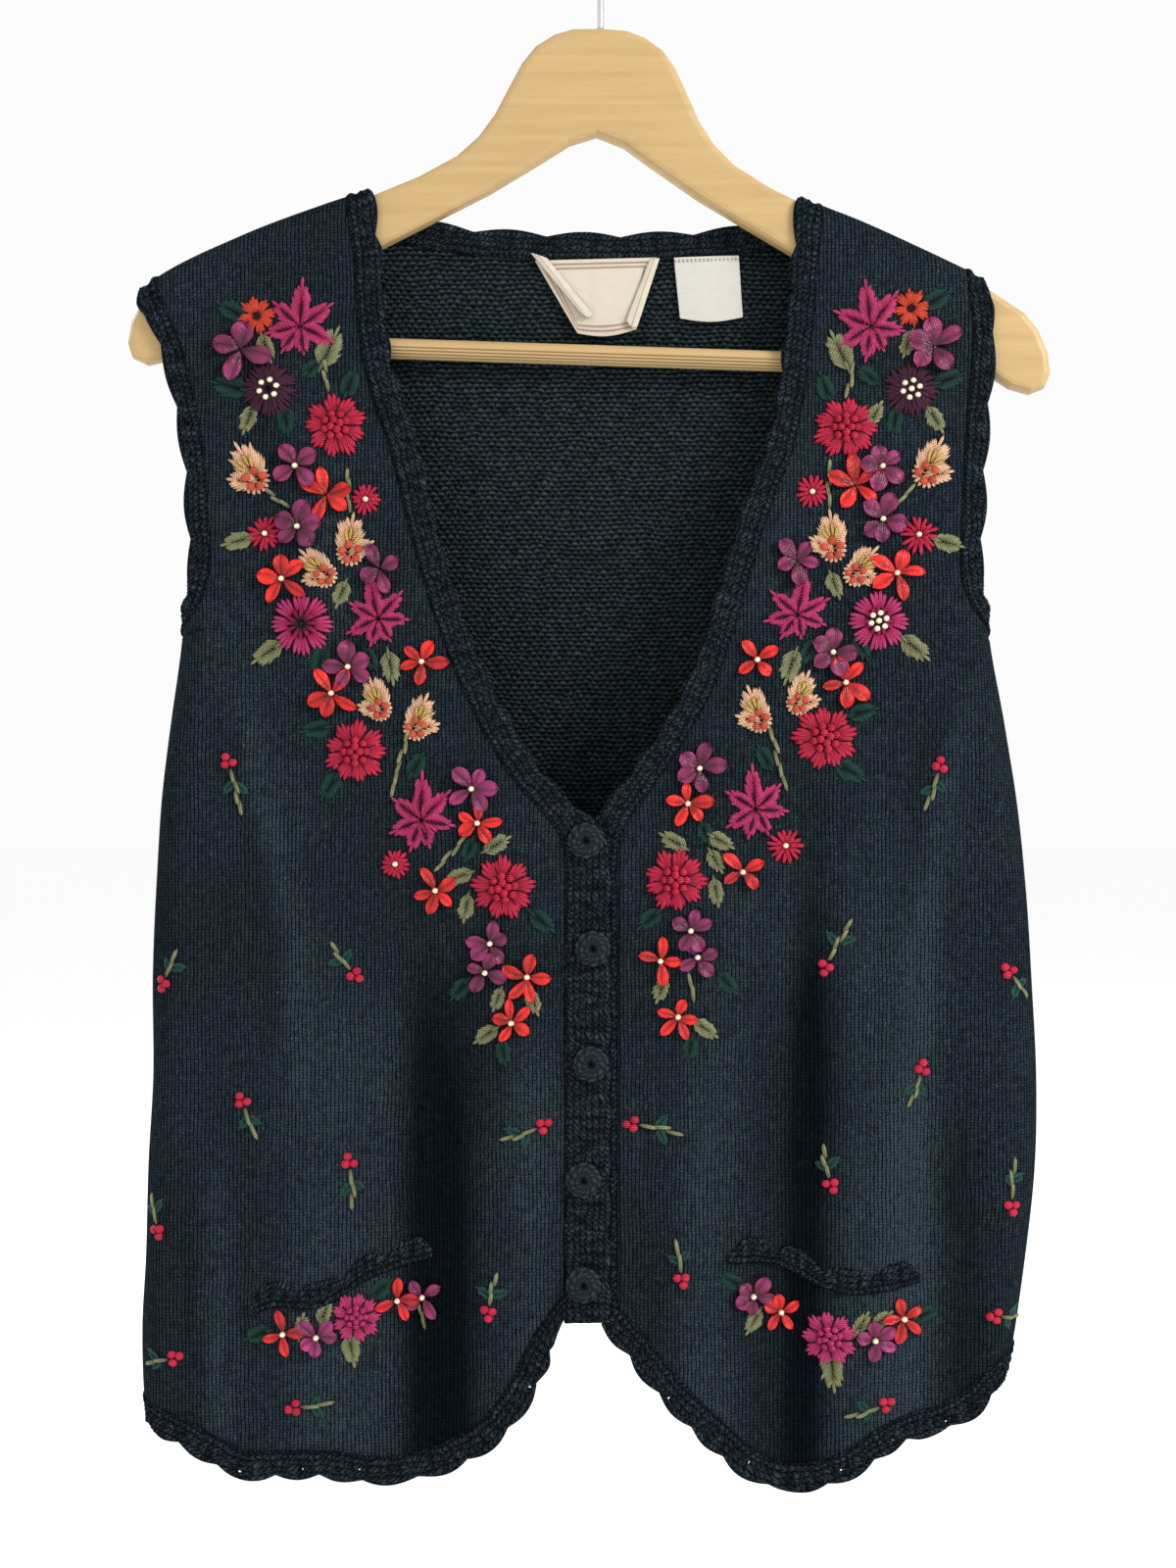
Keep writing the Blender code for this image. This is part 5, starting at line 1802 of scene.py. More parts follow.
LEFT_SPRAY = (
    # motif, place in the photo's pixels across and down, size in mm, heading in degrees
    (M.DARK_LEAF, 962, 297, 17, 30), (M.ORANGE_DAISY, 935, 307, 18, 10),
    (M.OLIVE_LEAF, 931, 345, 14, 250), (M.MAPLE, 893, 327, 38, 100),
    (M.PLUM_OPEN, 958, 346, 24, 100), (M.DARK_LEAF, 975, 380, 17, 20),
    (M.OLIVE_LEAF, 860, 350, 21, 115), (M.STEM, 872, 378, 17, 260),
    (M.DARK_LEAF, 845, 388, 16, 110), (M.DARK_LEAF, 889, 376, 14, 140),
    (M.FULL_PANSY, 934, 392, 27, 0), (M.OLIVE_LEAF, 960, 424, 15, 300),
    (M.OLIVE_LEAF, 898, 415, 13, 60), (M.DARK_LEAF, 917, 426, 15, 260),
    (M.MUM, 866, 432, 31, 0), (M.PLUM_RIBBON, 904, 472, 21, 100),
    (M.BUD, 954, 470, 25, 55), (M.RED_OPEN, 876, 492, 24, 100),
    (M.STEM, 849, 493, 22, 90), (M.DAISY, 831, 499, 16, 0),
    (M.PLUM_RIBBON, 904, 527, 22, 60), (M.STEM, 925, 505, 13, 40),
    (M.OLIVE_LEAF, 973, 552, 16, 345), (M.DAISY, 941, 543, 19, 15),
    (M.BUD, 851, 548, 24, 105), (M.OLIVE_LEAF, 854, 597, 14, 290),
    (M.PLUM_OPEN, 815, 571, 20, 60), (M.BUD, 881, 577, 22, 40),
    (M.RED_RIBBON, 918, 583, 22, 80), (M.OLIVE_LEAF, 937, 661, 18, 320),
    (M.BEADED_DAISY, 898, 633, 31, 0), (M.MAPLE, 814, 627, 32, 82),
    (M.DARK_LEAF, 826, 665, 15, 230), (M.DARK_LEAF, 881, 661, 14, 300),
    (M.RED_RIBBON, 773, 673, 20, 120), (M.OLIVE_LEAF, 807, 681, 18, 250),
    (M.PLUM_RIBBON, 851, 665, 20, 150), (M.RED_RIBBON, 864, 696, 22, 110),
    (M.STEM, 793, 770, 30, 285), (M.BUD, 818, 709, 21, 60),
    (M.BUD, 772, 726, 22, 120), (M.DARK_LEAF, 883, 726, 16, 15),
    (M.DARK_LEAF, 870, 788, 18, 330), (M.DARK_LEAF, 780, 772, 15, 120),
    (M.MUM, 842, 753, 31, 15), (M.PLUM_RIBBON, 714, 784, 20, 70),
    (M.MAPLE, 771, 826, 34, 95), (M.DAISY, 802, 863, 17, 0),
    (M.OLIVE_LEAF, 686, 858, 15, 150), (M.DARK_LEAF, 720, 851, 13, 290),
    (M.RED_RIBBON, 702, 820, 20, 160), (M.OLIVE_LEAF, 737, 859, 14, 330),
    (M.OLIVE_LEAF, 731, 880, 13, 300), (M.OLIVE_LEAF, 731, 912, 14, 280),
    (M.RED_RIBBON, 758, 890, 20, 40), (M.DARK_LEAF, 662, 939, 15, 220),
    (M.MUM, 689, 898, 30, 0), (M.PLUM_RIBBON, 705, 950, 18, 160),
    (M.DARK_LEAF, 743, 1004, 14, 310), (M.PLUM_RIBBON, 712, 977, 17, 120),
    (M.RED_RIBBON, 674, 981, 20, 0), (M.OLIVE_LEAF, 674, 1012, 13, 250),
    (M.STEM, 707, 1011, 12, 95), (M.RED_RIBBON, 692, 1038, 18, 150),
    (M.OLIVE_LEAF, 721, 1051, 14, 325), (M.DARK_LEAF, 704, 1071, 13, 260),
)
RIGHT_POCKET = (
    # motif, place in the photo's pixels across and down, size in mm, heading in degrees
    (M.DARK_LEAF, 261, 1365, 15, 200), (M.OLIVE_LEAF, 307, 1354, 13, 80),
    (M.RED_RIBBON, 288, 1363, 18, 20), (M.OLIVE_LEAF, 331, 1339, 13, 70),
    (M.PINK_RIBBON, 322, 1366, 17, 60), (M.OLIVE_LEAF, 358, 1381, 16, 280),
    (M.POCKET_MUM, 362, 1346, 24, 0), (M.DARK_LEAF, 389, 1317, 15, 40),
    (M.RED_RIBBON, 403, 1331, 18, 100), (M.STEM, 430, 1348, 13, 100),
    (M.PLUM_RIBBON, 430, 1328, 18, 30),
)
LEFT_POCKET = (
    # motif, place in the photo's pixels across and down, size in mm, heading in degrees
    (M.DARK_LEAF, 746, 1308, 14, 150), (M.PLUM_RIBBON, 769, 1325, 18, 60),
    (M.OLIVE_LEAF, 769, 1352, 14, 240), (M.RED_RIBBON, 798, 1342, 18, 20),
    (M.OLIVE_LEAF, 850, 1401, 20, 275), (M.POCKET_MUM, 847, 1366, 26, 15),
    (M.OLIVE_LEAF, 880, 1350, 13, 60), (M.OLIVE_LEAF, 902, 1346, 12, 40),
    (M.PINK_RIBBON, 893, 1368, 17, 40), (M.RED_RIBBON, 922, 1347, 18, 100),
    (M.DARK_LEAF, 947, 1344, 14, 20),
)
RIGHT_SPRIGS = (
    # motif, place of the berries in the photo's pixels, size in mm, heading of the stem
    (M.SPRIG, 232, 782, 23, 285), (M.SPRIG, 358, 992, 16, 128), (M.SPRIG, 163, 1001, 14, 60),
    (M.SPRIG, 247, 1130, 15, 287), (M.SPRIG, 356, 1192, 19, 275), (M.SPRIG, 550, 1150, 18, 200),
    (M.SPRIG, 154, 1256, 14, 100), (M.SPRIG, 499, 1334, 16, 79), (M.SPRIG, 170, 1391, 13, 190),
    (M.SPRIG, 304, 1438, 15, 4),
)
LEFT_SPRIGS = (
    # motif, place of the berries in the photo's pixels, size in mm, heading of the stem
    (M.SPRIG, 960, 786, 19, 252), (M.SPRIG, 845, 983, 23, 62), (M.SPRIG, 1036, 996, 13, 305),
    (M.SPRIG, 941, 1096, 16, 250), (M.SPRIG, 650, 1148, 21, 350), (M.SPRIG, 847, 1205, 16, 102),
    (M.SPRIG, 1036, 1230, 20, 88), (M.SPRIG, 695, 1301, 15, 94), (M.SPRIG, 1024, 1348, 13, 350),
    (M.SPRIG, 900, 1436, 17, 198),
)


@dataclass
class Stitches:
    """Rows of single stitches, in the cloth's own millimetres, before they are laid on it."""

    starts: list[tuple[float, float]] = field(default_factory=list)
    shapes: list[tuple[float, float, float, float, float, float]] = field(default_factory=list)
    colors: list[tuple[Color, Color]] = field(default_factory=list)
    tapers: list[Taper] = field(default_factory=list)

    def add(self, start: tuple[float, float], heading: float, length: float, width: float,
            colors: tuple[Color, Color], base: float, taper: Taper = Taper.YARN,
            thick: float = 0.55, bend: float = 0.0) -> None:
        """Add one stitch.

        Args:
            start: where it starts, across and height.
            heading: direction in radians.
            length: length.
            width: greatest width.
            colors: colour at its start and at its end.
            base: how far it lies over the cloth.
            taper: how its width changes along it.
            thick: its height as a share of the width.
            bend: how much its heading turns along it, in radians.
        """
        self.starts.append(start)
        self.shapes.append((heading, length, width, base, thick, bend))
        self.colors.append(colors)
        self.tapers.append(taper)

    def lay(self, form: Form, side: Side, taper: Taper, around: int, along: int) -> Pile:
        """Lay the stitches of one taper on the cloth.

        Each is a tube round a bent line: its half width is half the width times the taper's
        profile, its height follows the same profile, and its underside is nearly flat. A
        bell creases each petal along its length, and the petal's sides curl up to its tip.
        Painted shade darkens each yarn stitch round its sides and underside, and each petal
        along its crease.

        Args:
            form: the vest's form.
            side: which surface.
            taper: which stitches.
            around: points round a stitch.
            along: points along a stitch.

        Returns:
            A pile with the stitches.
        """
        chosen = [index for index, kind in enumerate(self.tapers) if kind is taper]
        start = np.array(self.starts)[chosen]
        shape = np.array(self.shapes)[chosen]
        colors = np.array(self.colors)[chosen]
        heading, length, width, base, thick, bend = (part[:, None, None] for part in shape.T)
        end = 0.004
        s = np.linspace(end, 1.0 - end, along)
        if taper is Taper.YARN:
            profile = (1.0 - np.abs(2.0 * s - 1.0) ** 3.2) ** 0.5
        elif taper is Taper.PETAL:
            profile = 3.16 * s * (1.0 - s) ** 0.7
        else:
            s = 0.5 - 0.5 * np.cos(math.pi * s)
            profile = np.sin(np.arccos(np.clip(1.0 - 2.0 * s, -1.0, 1.0)))
        s = s[None, :, None]
        profile = profile[None, :, None]
        turn = full_turn(around)[None, None, :]
        angle = heading + bend * (s - 0.5)
        middle_across = start[:, 0, None, None] + length * s * np.cos(heading + bend * (s - 1) / 2)
        middle_height = start[:, 1, None, None] + length * s * np.sin(heading + bend * (s - 1) / 2)
        half = 0.5 * width * profile
        sideways = half * np.cos(turn)
        up = np.sin(turn)
        up = np.where(up > 0.0, up, 0.35 * up)
        high = width * thick * profile**0.8 * up
        # Painted shade: darker round each yarn stitch's sides and underside, and along each petal's
        # crease, which also sinks the petal's top.
        shade_and_petal_crease = np.ones(np.broadcast(s, bend, turn).shape)
        if taper is Taper.YARN:
            shade_and_petal_crease = shade_and_petal_crease * (0.42 + 0.62 * np.clip(np.sin(turn), 0.0, 1.0))
        elif taper is Taper.PETAL:
            fold = bell(np.cos(turn), 0.25 * np.sin(5.0 * bend), 0.24)
            shade_and_petal_crease = shade_and_petal_crease - 0.62 * fold * (up > 0.0)
            curl = 0.20 * width * np.cos(turn) ** 4 * smoothstep((s - 0.30) / 0.5)
            high = high * shade_and_petal_crease + curl + 0.10 * width * s * s
        across = middle_across - sideways * np.sin(angle)
        height = middle_height + sideways * np.cos(angle)
        lift = base + high + 0.12 * width * np.sin(math.pi * s) * (taper is not Taper.BALL)
        across, height, lift = np.broadcast_arrays(across, height, lift)
        points = form.laid(side, across, height, lift)
        share = np.broadcast_to(smoothstep(s * 1.15), across.shape)[..., None]
        first_color, last_color = (colors[:, index, None, None, :] for index in (0, 1))
        tint = first_color * (1.0 - share) + last_color * share
        # The colour takes the painted shade.
        tint = tint * np.broadcast_to(shade_and_petal_crease, across.shape)[..., None]
        place = np.stack((np.broadcast_to(length * s, across.shape),
                          np.broadcast_to(sideways, across.shape)), axis=-1)
        pile = Pile()
        cell = grid_faces(along, around, False, True)[..., ::-1].reshape(-1, 4)
        shift = (np.arange(len(chosen)) * along * around)[:, None, None]
        pile.add(points, place, tint, cell[None] + shift)
        first = np.arange(around)[None, :]
        last = np.arange(around)[None, ::-1] + (along - 1) * around
        pile.more_faces(first + shift[:, :, 0], 0, 0)
        pile.more_faces(last + shift[:, :, 0], 0, 0)
        return pile


@dataclass
class Embroidery:
    """Sprays, pocket garlands and sprigs of one front."""

    form: Form
    side: Side
    photo: Photo = field(default_factory=Photo)
    seed: int = 7

    def __post_init__(self) -> None:
        """Start the stitches and the seeded random numbers."""
        self.yarn = Stitches()
        self.ribbon = Stitches()
        self.beads = Stitches()
        self.random = np.random.default_rng(self.seed)

    def vary(self, value: float, share: float = 0.1) -> float:
        """A value changed at random by up to a share of itself."""
        return value * (1.0 + share * float(self.random.uniform(-1.0, 1.0)))

    def toned(self, pair: tuple[Color, Color], share: float = 0.14) -> tuple[Color, Color]:
        """Two colours made lighter or darker together at random."""
        factor = 1.0 + share * float(self.random.uniform(-1.0, 1.0))
        return tuple(tuple(part * factor for part in color) for color in pair)

    def polar(self, centre: tuple, angle: float, radius: float) -> tuple[float, float]:
        """Point at an angle and a distance from a centre."""
        return centre[0] + radius * math.cos(angle), centre[1] + radius * math.sin(angle)

    def ring(self, centre: tuple, count: int, inner: float, outer: float, width: float,
             colors: tuple, turn: float = 0.0, base: float = 0.0) -> None:
        """Stitches that radiate from a centre.

        Args:
            centre: middle of the flower.
            count: number of stitches.
            inner: radius at which they start.
            outer: radius at which they end.
            width: width of each.
            colors: colours at their start and end.
            turn: angle of the first one.
            base: how far they lie over the cloth.
        """
        for index in range(count):
            angle = turn + 2.0 * math.pi * index / count
            angle += float(self.random.uniform(-0.07, 0.07))
            length = self.vary(outer - inner, 0.12)
            self.yarn.add(
                self.polar(centre, angle, inner), angle, length, self.vary(width, 0.1),
                self.toned(colors), base, thick=0.6,
                bend=float(self.random.uniform(-0.25, 0.25)),
            )

    def knots(self, centre: tuple, places: tuple, size: float, colors: tuple, base: float) -> None:
        """Round knots at places, each an angle and a radius.

        Args:
            centre: middle of the motif.
            places: angle and radius of each knot.
            size: width of a knot.
            colors: colours at a stitch's start and end.
            base: how far they lie over the cloth.
        """
        for angle, radius in places:
            spot = self.polar(centre, angle, radius)
            spot = (spot[0] - 0.5 * size, spot[1])
            self.yarn.add(spot, 0.0, size, self.vary(size, 0.08), self.toned(colors),
                          taper=Taper.BALL, base=base, thick=0.5)

    def bead(self, spot: tuple, size: float, base: float) -> None:
        """One pearl bead."""
        self.beads.add((spot[0] - 0.5 * size, spot[1]), 0.0, size, size, (PEARL, PEARL),
                       taper=Taper.BALL, base=base, thick=0.75)

    def feather(self, foot: tuple, heading: float, length: float, width: float, colors: tuple,
                thread: float, base: float = 0.0) -> None:
        """Pointed leaf or petal of slanting stitches on both sides of a middle line.

        Args:
            foot: where it starts.
            heading: direction in radians.
            length: length.
            width: greatest width.
            colors: colours of its stitches.
            thread: width of a stitch.
            base: how far it lies over the cloth.
        """
        count = max(3, round(0.72 * length / (1.02 * thread)))
        for index in range(count):
            share = index / count
            spot = self.polar(foot, heading, length * 0.72 * share)
            reach = 0.60 * width * math.sin(math.pi * min(1.0, share * 0.62 + 0.34)) + 0.15 * length
            for way in (-1.0, 1.0):
                slant = heading + way * (0.70 - 0.25 * share)
                self.yarn.add(spot, slant, self.vary(reach, 0.14), thread, self.toned(colors),
                              base=base + 0.1 * (index % 2), bend=-way * 0.35)
        tip = self.polar(foot, heading, length * 0.60)
        self.yarn.add(tip, heading, length * 0.42, thread, self.toned(colors), base=base + 0.2)

    def maple(self, centre: tuple, size: float, heading: float) -> None:
        """Flower of six pointed lobes, the one ahead the longest.

        Args:
            centre: middle of the motif.
            size: size in millimetres.
            heading: direction in radians.
        """
        lobes = ((0.0, 0.64), (0.92, 0.50), (-0.86, 0.52), (1.95, 0.46), (-1.80, 0.46),
                 (2.75, 0.40), (-2.80, 0.36))
        for turn, share in lobes:
            angle = heading + turn + float(self.random.uniform(-0.1, 0.1))
            foot = self.polar(centre, angle, 1.2)
            reach = self.vary(share * size, 0.08)
            self.feather(foot, angle, reach, 0.19 * size, (MAGENTA, MAGENTA_LIGHT), thread=1.7,
                         base=0.3)
            slit = self.polar(centre, angle + float(self.random.uniform(-0.2, 0.2)), 0.10 * size)
            self.yarn.add(slit, angle, self.vary(0.22 * size, 0.3), 0.9,
                          self.toned((DARK_PLUM, DARK_PLUM)), base=1.4)

    def mum(self, centre: tuple, size: float, heading: float, colors: tuple) -> None:
        """Flower of serrated petals, three stitches each, round a cluster of knots.

        Args:
            centre: middle of the motif.
            size: size in millimetres.
            heading: direction in radians.
            colors: colours at a stitch's start and end.
        """
        radius = 0.5 * size
        petals = 9
        for index in range(petals):
            angle = heading + 2.0 * math.pi * index / petals
            angle += float(self.random.uniform(-0.06, 0.06))
            longest = self.vary(0.66 * radius, 0.10)
            for way, share in ((-1.5, 0.78), (1.5, 0.78), (-0.5, 0.97), (0.5, 1.0)):
                spot = self.polar(centre, angle + way * 0.17, 0.36 * radius)
                self.yarn.add(spot, angle + way * 0.15, longest * share, 0.15 * radius + 0.5,
                              self.toned(colors), base=0.2 + 0.2 * (abs(way) < 1))
        self.ring(centre, 9, 0.42 * radius, 0.74 * radius, 1.2, (DARK_PLUM, DARK_PLUM),
                  turn=heading + 0.35, base=1.3)
        outer = tuple((heading + 0.785 * index, 0.36 * radius) for index in range(8))
        inner = tuple((heading + 1.57 * index, 0.16 * radius) for index in range(4))
        self.knots(centre, outer, 0.27 * radius, colors, 0.9)
        self.knots(centre, inner, 0.27 * radius, colors, 1.6)

    def daisy(self, centre: tuple, size: float, heading: float, colors: tuple, bead: bool) -> None:
        """Small flower: a ring of short stitches with a bead.

        Args:
            centre: middle of the motif.
            size: size in millimetres.
            heading: direction in radians.
            colors: colours at a stitch's start and end.
            bead: whether a bead sits in the middle.
        """
        radius = 0.5 * size
        if bead:
            self.ring(centre, 15, 0.16 * radius, radius, 2.3, colors, turn=heading, base=0.1)
            self.ring(centre, 9, 0.12 * radius, 0.62 * radius, 2.1, colors, turn=heading, base=0.6)
            self.bead(centre, 2.9, 1.3)
            return
        for index in range(8):
            angle = heading + 2.0 * math.pi * index / 8.0 + float(self.random.uniform(-0.1, 0.1))
            for way, share in ((-1.0, 0.78), (1.0, 0.78), (0.0, 0.90)):
                spot = self.polar(centre, angle + 0.3 * way, 0.18 * radius)
                self.yarn.add(spot, angle + 0.17 * way, self.vary(share * radius, 0.1), 2.1,
                              self.toned(colors), base=0.1)
        self.ring(centre, 5, 0.0, 0.26 * radius, 1.4, (DARK_PLUM, DARK_PLUM), base=1.0)

    def big_daisy(self, centre: tuple, size: float, heading: float, beads: int) -> None:
        """Large flower: long stitches in groups, a dark centre and maybe beads.

        Args:
            centre: middle of the motif.
            size: size in millimetres.
            heading: direction in radians.
            beads: number of beads.
        """
        radius = 0.5 * size
        self.ring(centre, 12, 0.1 * radius, 0.52 * radius, 2.6, (DARK_PLUM, MAGENTA), turn=heading,
                  base=0.1)
        for index in range(8):
            angle = heading + 2.0 * math.pi * index / 8.0
            for way in (-1.5, -0.5, 0.5, 1.5):
                turn = angle + way * 0.165
                share = 0.60 - 0.05 * abs(way)
                self.yarn.add(self.polar(centre, turn, 0.38 * radius), turn,
                              self.vary(share * radius, 0.1), 2.4,
                              self.toned((MAGENTA, MAGENTA_LIGHT)), base=0.35)
        self.crown(centre, beads, 3.9)

    def crown(self, centre: tuple, beads: int, radius: float) -> None:
        """Six beads in a ring, and a seventh in the middle."""
        for index in range(min(beads, 6)):
            self.bead(self.polar(centre, math.pi * index / 3.0 + 0.3, radius), 3.1, 0.9)
        if beads > 6:
            self.bead(centre, 3.1, 1.2)

    def pansy(self, centre: tuple, size: float, heading: float, beads: int) -> None:
        """Dark flower of long radiating stitches with a ring of beads.

        Args:
            centre: middle of the motif.
            size: size in millimetres.
            heading: direction in radians.
            beads: number of beads.
        """
        radius = 0.5 * size
        self.ring(centre, 38, 0.22 * radius, radius, 2.3, (DARK_PLUM, PLUM_TIP), turn=heading)
        self.ring(centre, 22, 0.10 * radius, 0.80 * radius, 2.2, (DARK_PLUM, PLUM_TIP),
                  turn=heading, base=0.6)
        self.crown(centre, beads, 4.3)

    def satin(self, centre: tuple, size: float, heading: float, colors: tuple, bead: bool) -> None:
        """Flower of four or five folded ribbon petals.

        Args:
            centre: middle of the motif.
            size: size in millimetres.
            heading: direction in radians.
            colors: colours at a stitch's start and end.
            bead: whether a bead sits in the middle.
        """
        petals = 4 if self.random.uniform() < 0.3 else 5
        for index in range(petals):
            angle = heading + 2.0 * math.pi * index / petals
            angle += float(self.random.uniform(-0.25, 0.25))
            length = self.vary(0.56 * size, 0.16)
            wide = 0.28 if colors[1] == SCARLET else 0.37
            spot = self.polar(centre, angle, 0.4)
            self.ribbon.add(spot, angle, length, self.vary(wide * size, 0.2),
                            self.toned(colors, 0.3), taper=Taper.PETAL,
                            base=0.5 + 0.4 * (index % 2), thick=0.18,
                            bend=float(self.random.uniform(-0.7, 0.7)))
        if bead:
            self.bead(centre, 2.9, 1.6)

    def bud(self, centre: tuple, size: float, heading: float) -> None:
        """Peach bud: a large pointed lobe with a yellow heart, a small one, and coral knots.

        Args:
            centre: middle of the motif.
            size: size in millimetres.
            heading: direction in radians.
        """
        size = 1.14 * size
        peach = (PEACH, PEACH_LIGHT)
        way = -1.0 if math.cos(heading) > 0.0 else 1.0
        foot = self.polar(centre, heading + math.pi, 0.26 * size)
        self.feather(foot, heading - 0.12 * way, 0.80 * size, 0.48 * size, peach, thread=1.9,
                     base=0.2)
        small = self.polar(foot, heading + 0.9 * way, 0.08 * size)
        self.feather(small, heading + 0.75 * way, 0.48 * size, 0.32 * size, peach, thread=1.9,
                     base=0.3)
        for index in range(4):
            spot = self.polar(centre, heading + 1.2 * (index - 1.5), 0.05 * size)
            self.yarn.add(spot, heading + 0.3 * (index - 1.5), 0.24 * size, 1.4,
                          self.toned((YELLOW, YELLOW)), base=1.6)
        cup = self.polar(foot, heading + 0.35 * way, 0.10 * size)
        for index in range(9):
            angle = heading + math.pi + (index - 4) * 0.36
            spot = self.polar(cup, angle, 0.11 * size)
            self.yarn.add(spot, angle + 0.2 * (index - 4) / 4.0, 0.15 * size, 2.1,
                          self.toned(peach), base=0.3)
        places = ((0.4, 0.15 * size), (1.7, 0.14 * size), (3.0, 0.15 * size), (4.3, 0.14 * size),
                  (5.4, 0.15 * size))
        self.knots(cup, places, 0.145 * size, (CORAL, CORAL), 1.4)

    def leaf(self, centre: tuple, size: float, heading: float, colors: tuple,
             thread: float) -> None:
        """Leaf of slanting stitches with a short stalk.

        Args:
            centre: middle of the motif.
            size: size in millimetres.
            heading: direction in radians.
            colors: colours at a stitch's start and end.
            thread: width of a stitch.
        """
        foot = self.polar(centre, heading + math.pi, 0.5 * size)
        self.feather(foot, heading, size, 0.50 * size, colors, thread=thread)
        self.yarn.add(self.polar(foot, heading + math.pi, 0.16 * size), heading, 0.4 * size, 1.3,
                      self.toned(colors), base=0.1)

    def stem(self, centre: tuple, size: float, heading: float) -> None:
        """Short row of overlapping stem stitches.

        Args:
            centre: middle of the motif.
            size: size in millimetres.
            heading: direction in radians.
        """
        count = max(2, round(size / 5.5))
        for index in range(count):
            shift = (index / count - 0.5) * size
            spot = self.polar(centre, heading, shift)
            spot = self.polar(spot, heading + math.pi / 2.0, 0.5 * math.sin(2.4 * index))
            self.yarn.add(spot, heading + 0.12 * math.sin(1.7 * index), 1.5 * size / count, 2.2,
                          self.toned((OLIVE, OLIVE_LIGHT)), base=0.05)

    def sprig(self, centre: tuple, size: float, heading: float) -> None:
        """Three berries, a stem and two small dark leaves.

        Args:
            centre: middle of the motif.
            size: size in millimetres.
            heading: direction in radians.
        """
        middle = self.polar(centre, heading, 0.50 * size)
        self.stem(middle, 0.90 * size, heading)
        for way in (-1.0, 1.0):
            foot = self.polar(centre, heading, self.vary(0.42 * size, 0.25))
            self.feather(foot, heading + way * self.vary(0.95, 0.3), self.vary(7.5, 0.2), 3.8,
                         (FOREST_LIGHT, SPRIG_GREEN), thread=1.1)
        places = tuple((heading + math.pi + turn, away)
                       for turn, away in ((-0.95, 2.4), (0.95, 2.4), (0.15, 5.0)))
        self.knots(centre, places, 4.2, (BERRY, BERRY), 0.1)

    def add(self, motif: Motif, across: float, down: float, size: float, degrees: float) -> None:
        """Stitch one motif at a place of the photo.

        Args:
            motif: which motif.
            across: the photo's pixel across.
            down: the photo's pixel down.
            size: size in millimetres.
            degrees: direction in degrees.
        """
        centre = (self.photo.across(across), self.photo.height(down))
        heading = math.radians(degrees)
        red = (SCARLET_DEEP, SCARLET)
        plum = (PLUM_SATIN, PLUM_LIGHT)
        pink = (MAGENTA, MAGENTA_LIGHT)
        crimson = (CRIMSON, CRIMSON_LIGHT)
        orange = (VERMILION, VERMILION)
        green = (OLIVE, OLIVE_LIGHT)
        dark = (FOREST, FOREST_LIGHT)
        kinds = {
            Motif.MAPLE: (self.maple,),
            Motif.MUM: (self.mum, crimson),
            Motif.POCKET_MUM: (self.mum, pink),
            Motif.DAISY: (self.daisy, crimson, True),
            Motif.ORANGE_DAISY: (self.daisy, orange, False),
            Motif.BIG_DAISY: (self.big_daisy, 0),
            Motif.BEADED_DAISY: (self.big_daisy, 7),
            Motif.PANSY: (self.pansy, 6),
            Motif.FULL_PANSY: (self.pansy, 7),
            Motif.RED_RIBBON: (self.satin, red, True),
            Motif.PLUM_RIBBON: (self.satin, plum, True),
            Motif.PINK_RIBBON: (self.satin, (PINK_SATIN, PINK_LIGHT), True),
            Motif.RED_OPEN: (self.satin, red, False),
            Motif.PLUM_OPEN: (self.satin, plum, False),
            Motif.BUD: (self.bud,),
            Motif.OLIVE_LEAF: (self.leaf, green, 1.7),
            Motif.DARK_LEAF: (self.leaf, dark, 1.25),
            Motif.STEM: (self.stem,),
            Motif.SPRIG: (self.sprig,),
        }
        stitch, *rest = kinds[motif]
        stitch(centre, size, heading, *rest)

    def build(self, tables: tuple, materials: dict) -> list[bpy.types.Object]:
        """Stitch the tables' motifs and make the yarn, ribbon and bead pieces."""
        for table in tables:
            for row in table:
                self.add(*row)
        made = []
        plan = (
            ("yarn", self.yarn, Taper.YARN, 6, 6, "embroidery"),
            ("knots", self.yarn, Taper.BALL, 8, 6, "embroidery"),
            ("ribbon", self.ribbon, Taper.PETAL, 20, 12, "embroidery"),
            ("beads", self.beads, Taper.BALL, 12, 8, "beads"),
        )
        for name, stitches, taper, around, along, slot in plan:
            pile = stitches.lay(self.form, self.side, taper, around, along)
            made.append(pile.build(f"{name}_{self.side.value}", (materials[name],), slot))
        return made


@dataclass(frozen=True)
class Curl:
    """How far a label stands off the cloth over its rise."""

    rise: float
    foot: float
    belly: float
    low: bool = False

    def lift(self, over: Grid, down: Grid) -> Grid:
        """Rise, foot times down squared, and a sine's half wave across; a low one grows down."""
        belly = self.belly * np.sin(math.pi * over)
        return self.rise + self.foot * down**2 + (belly * down if self.low else belly)


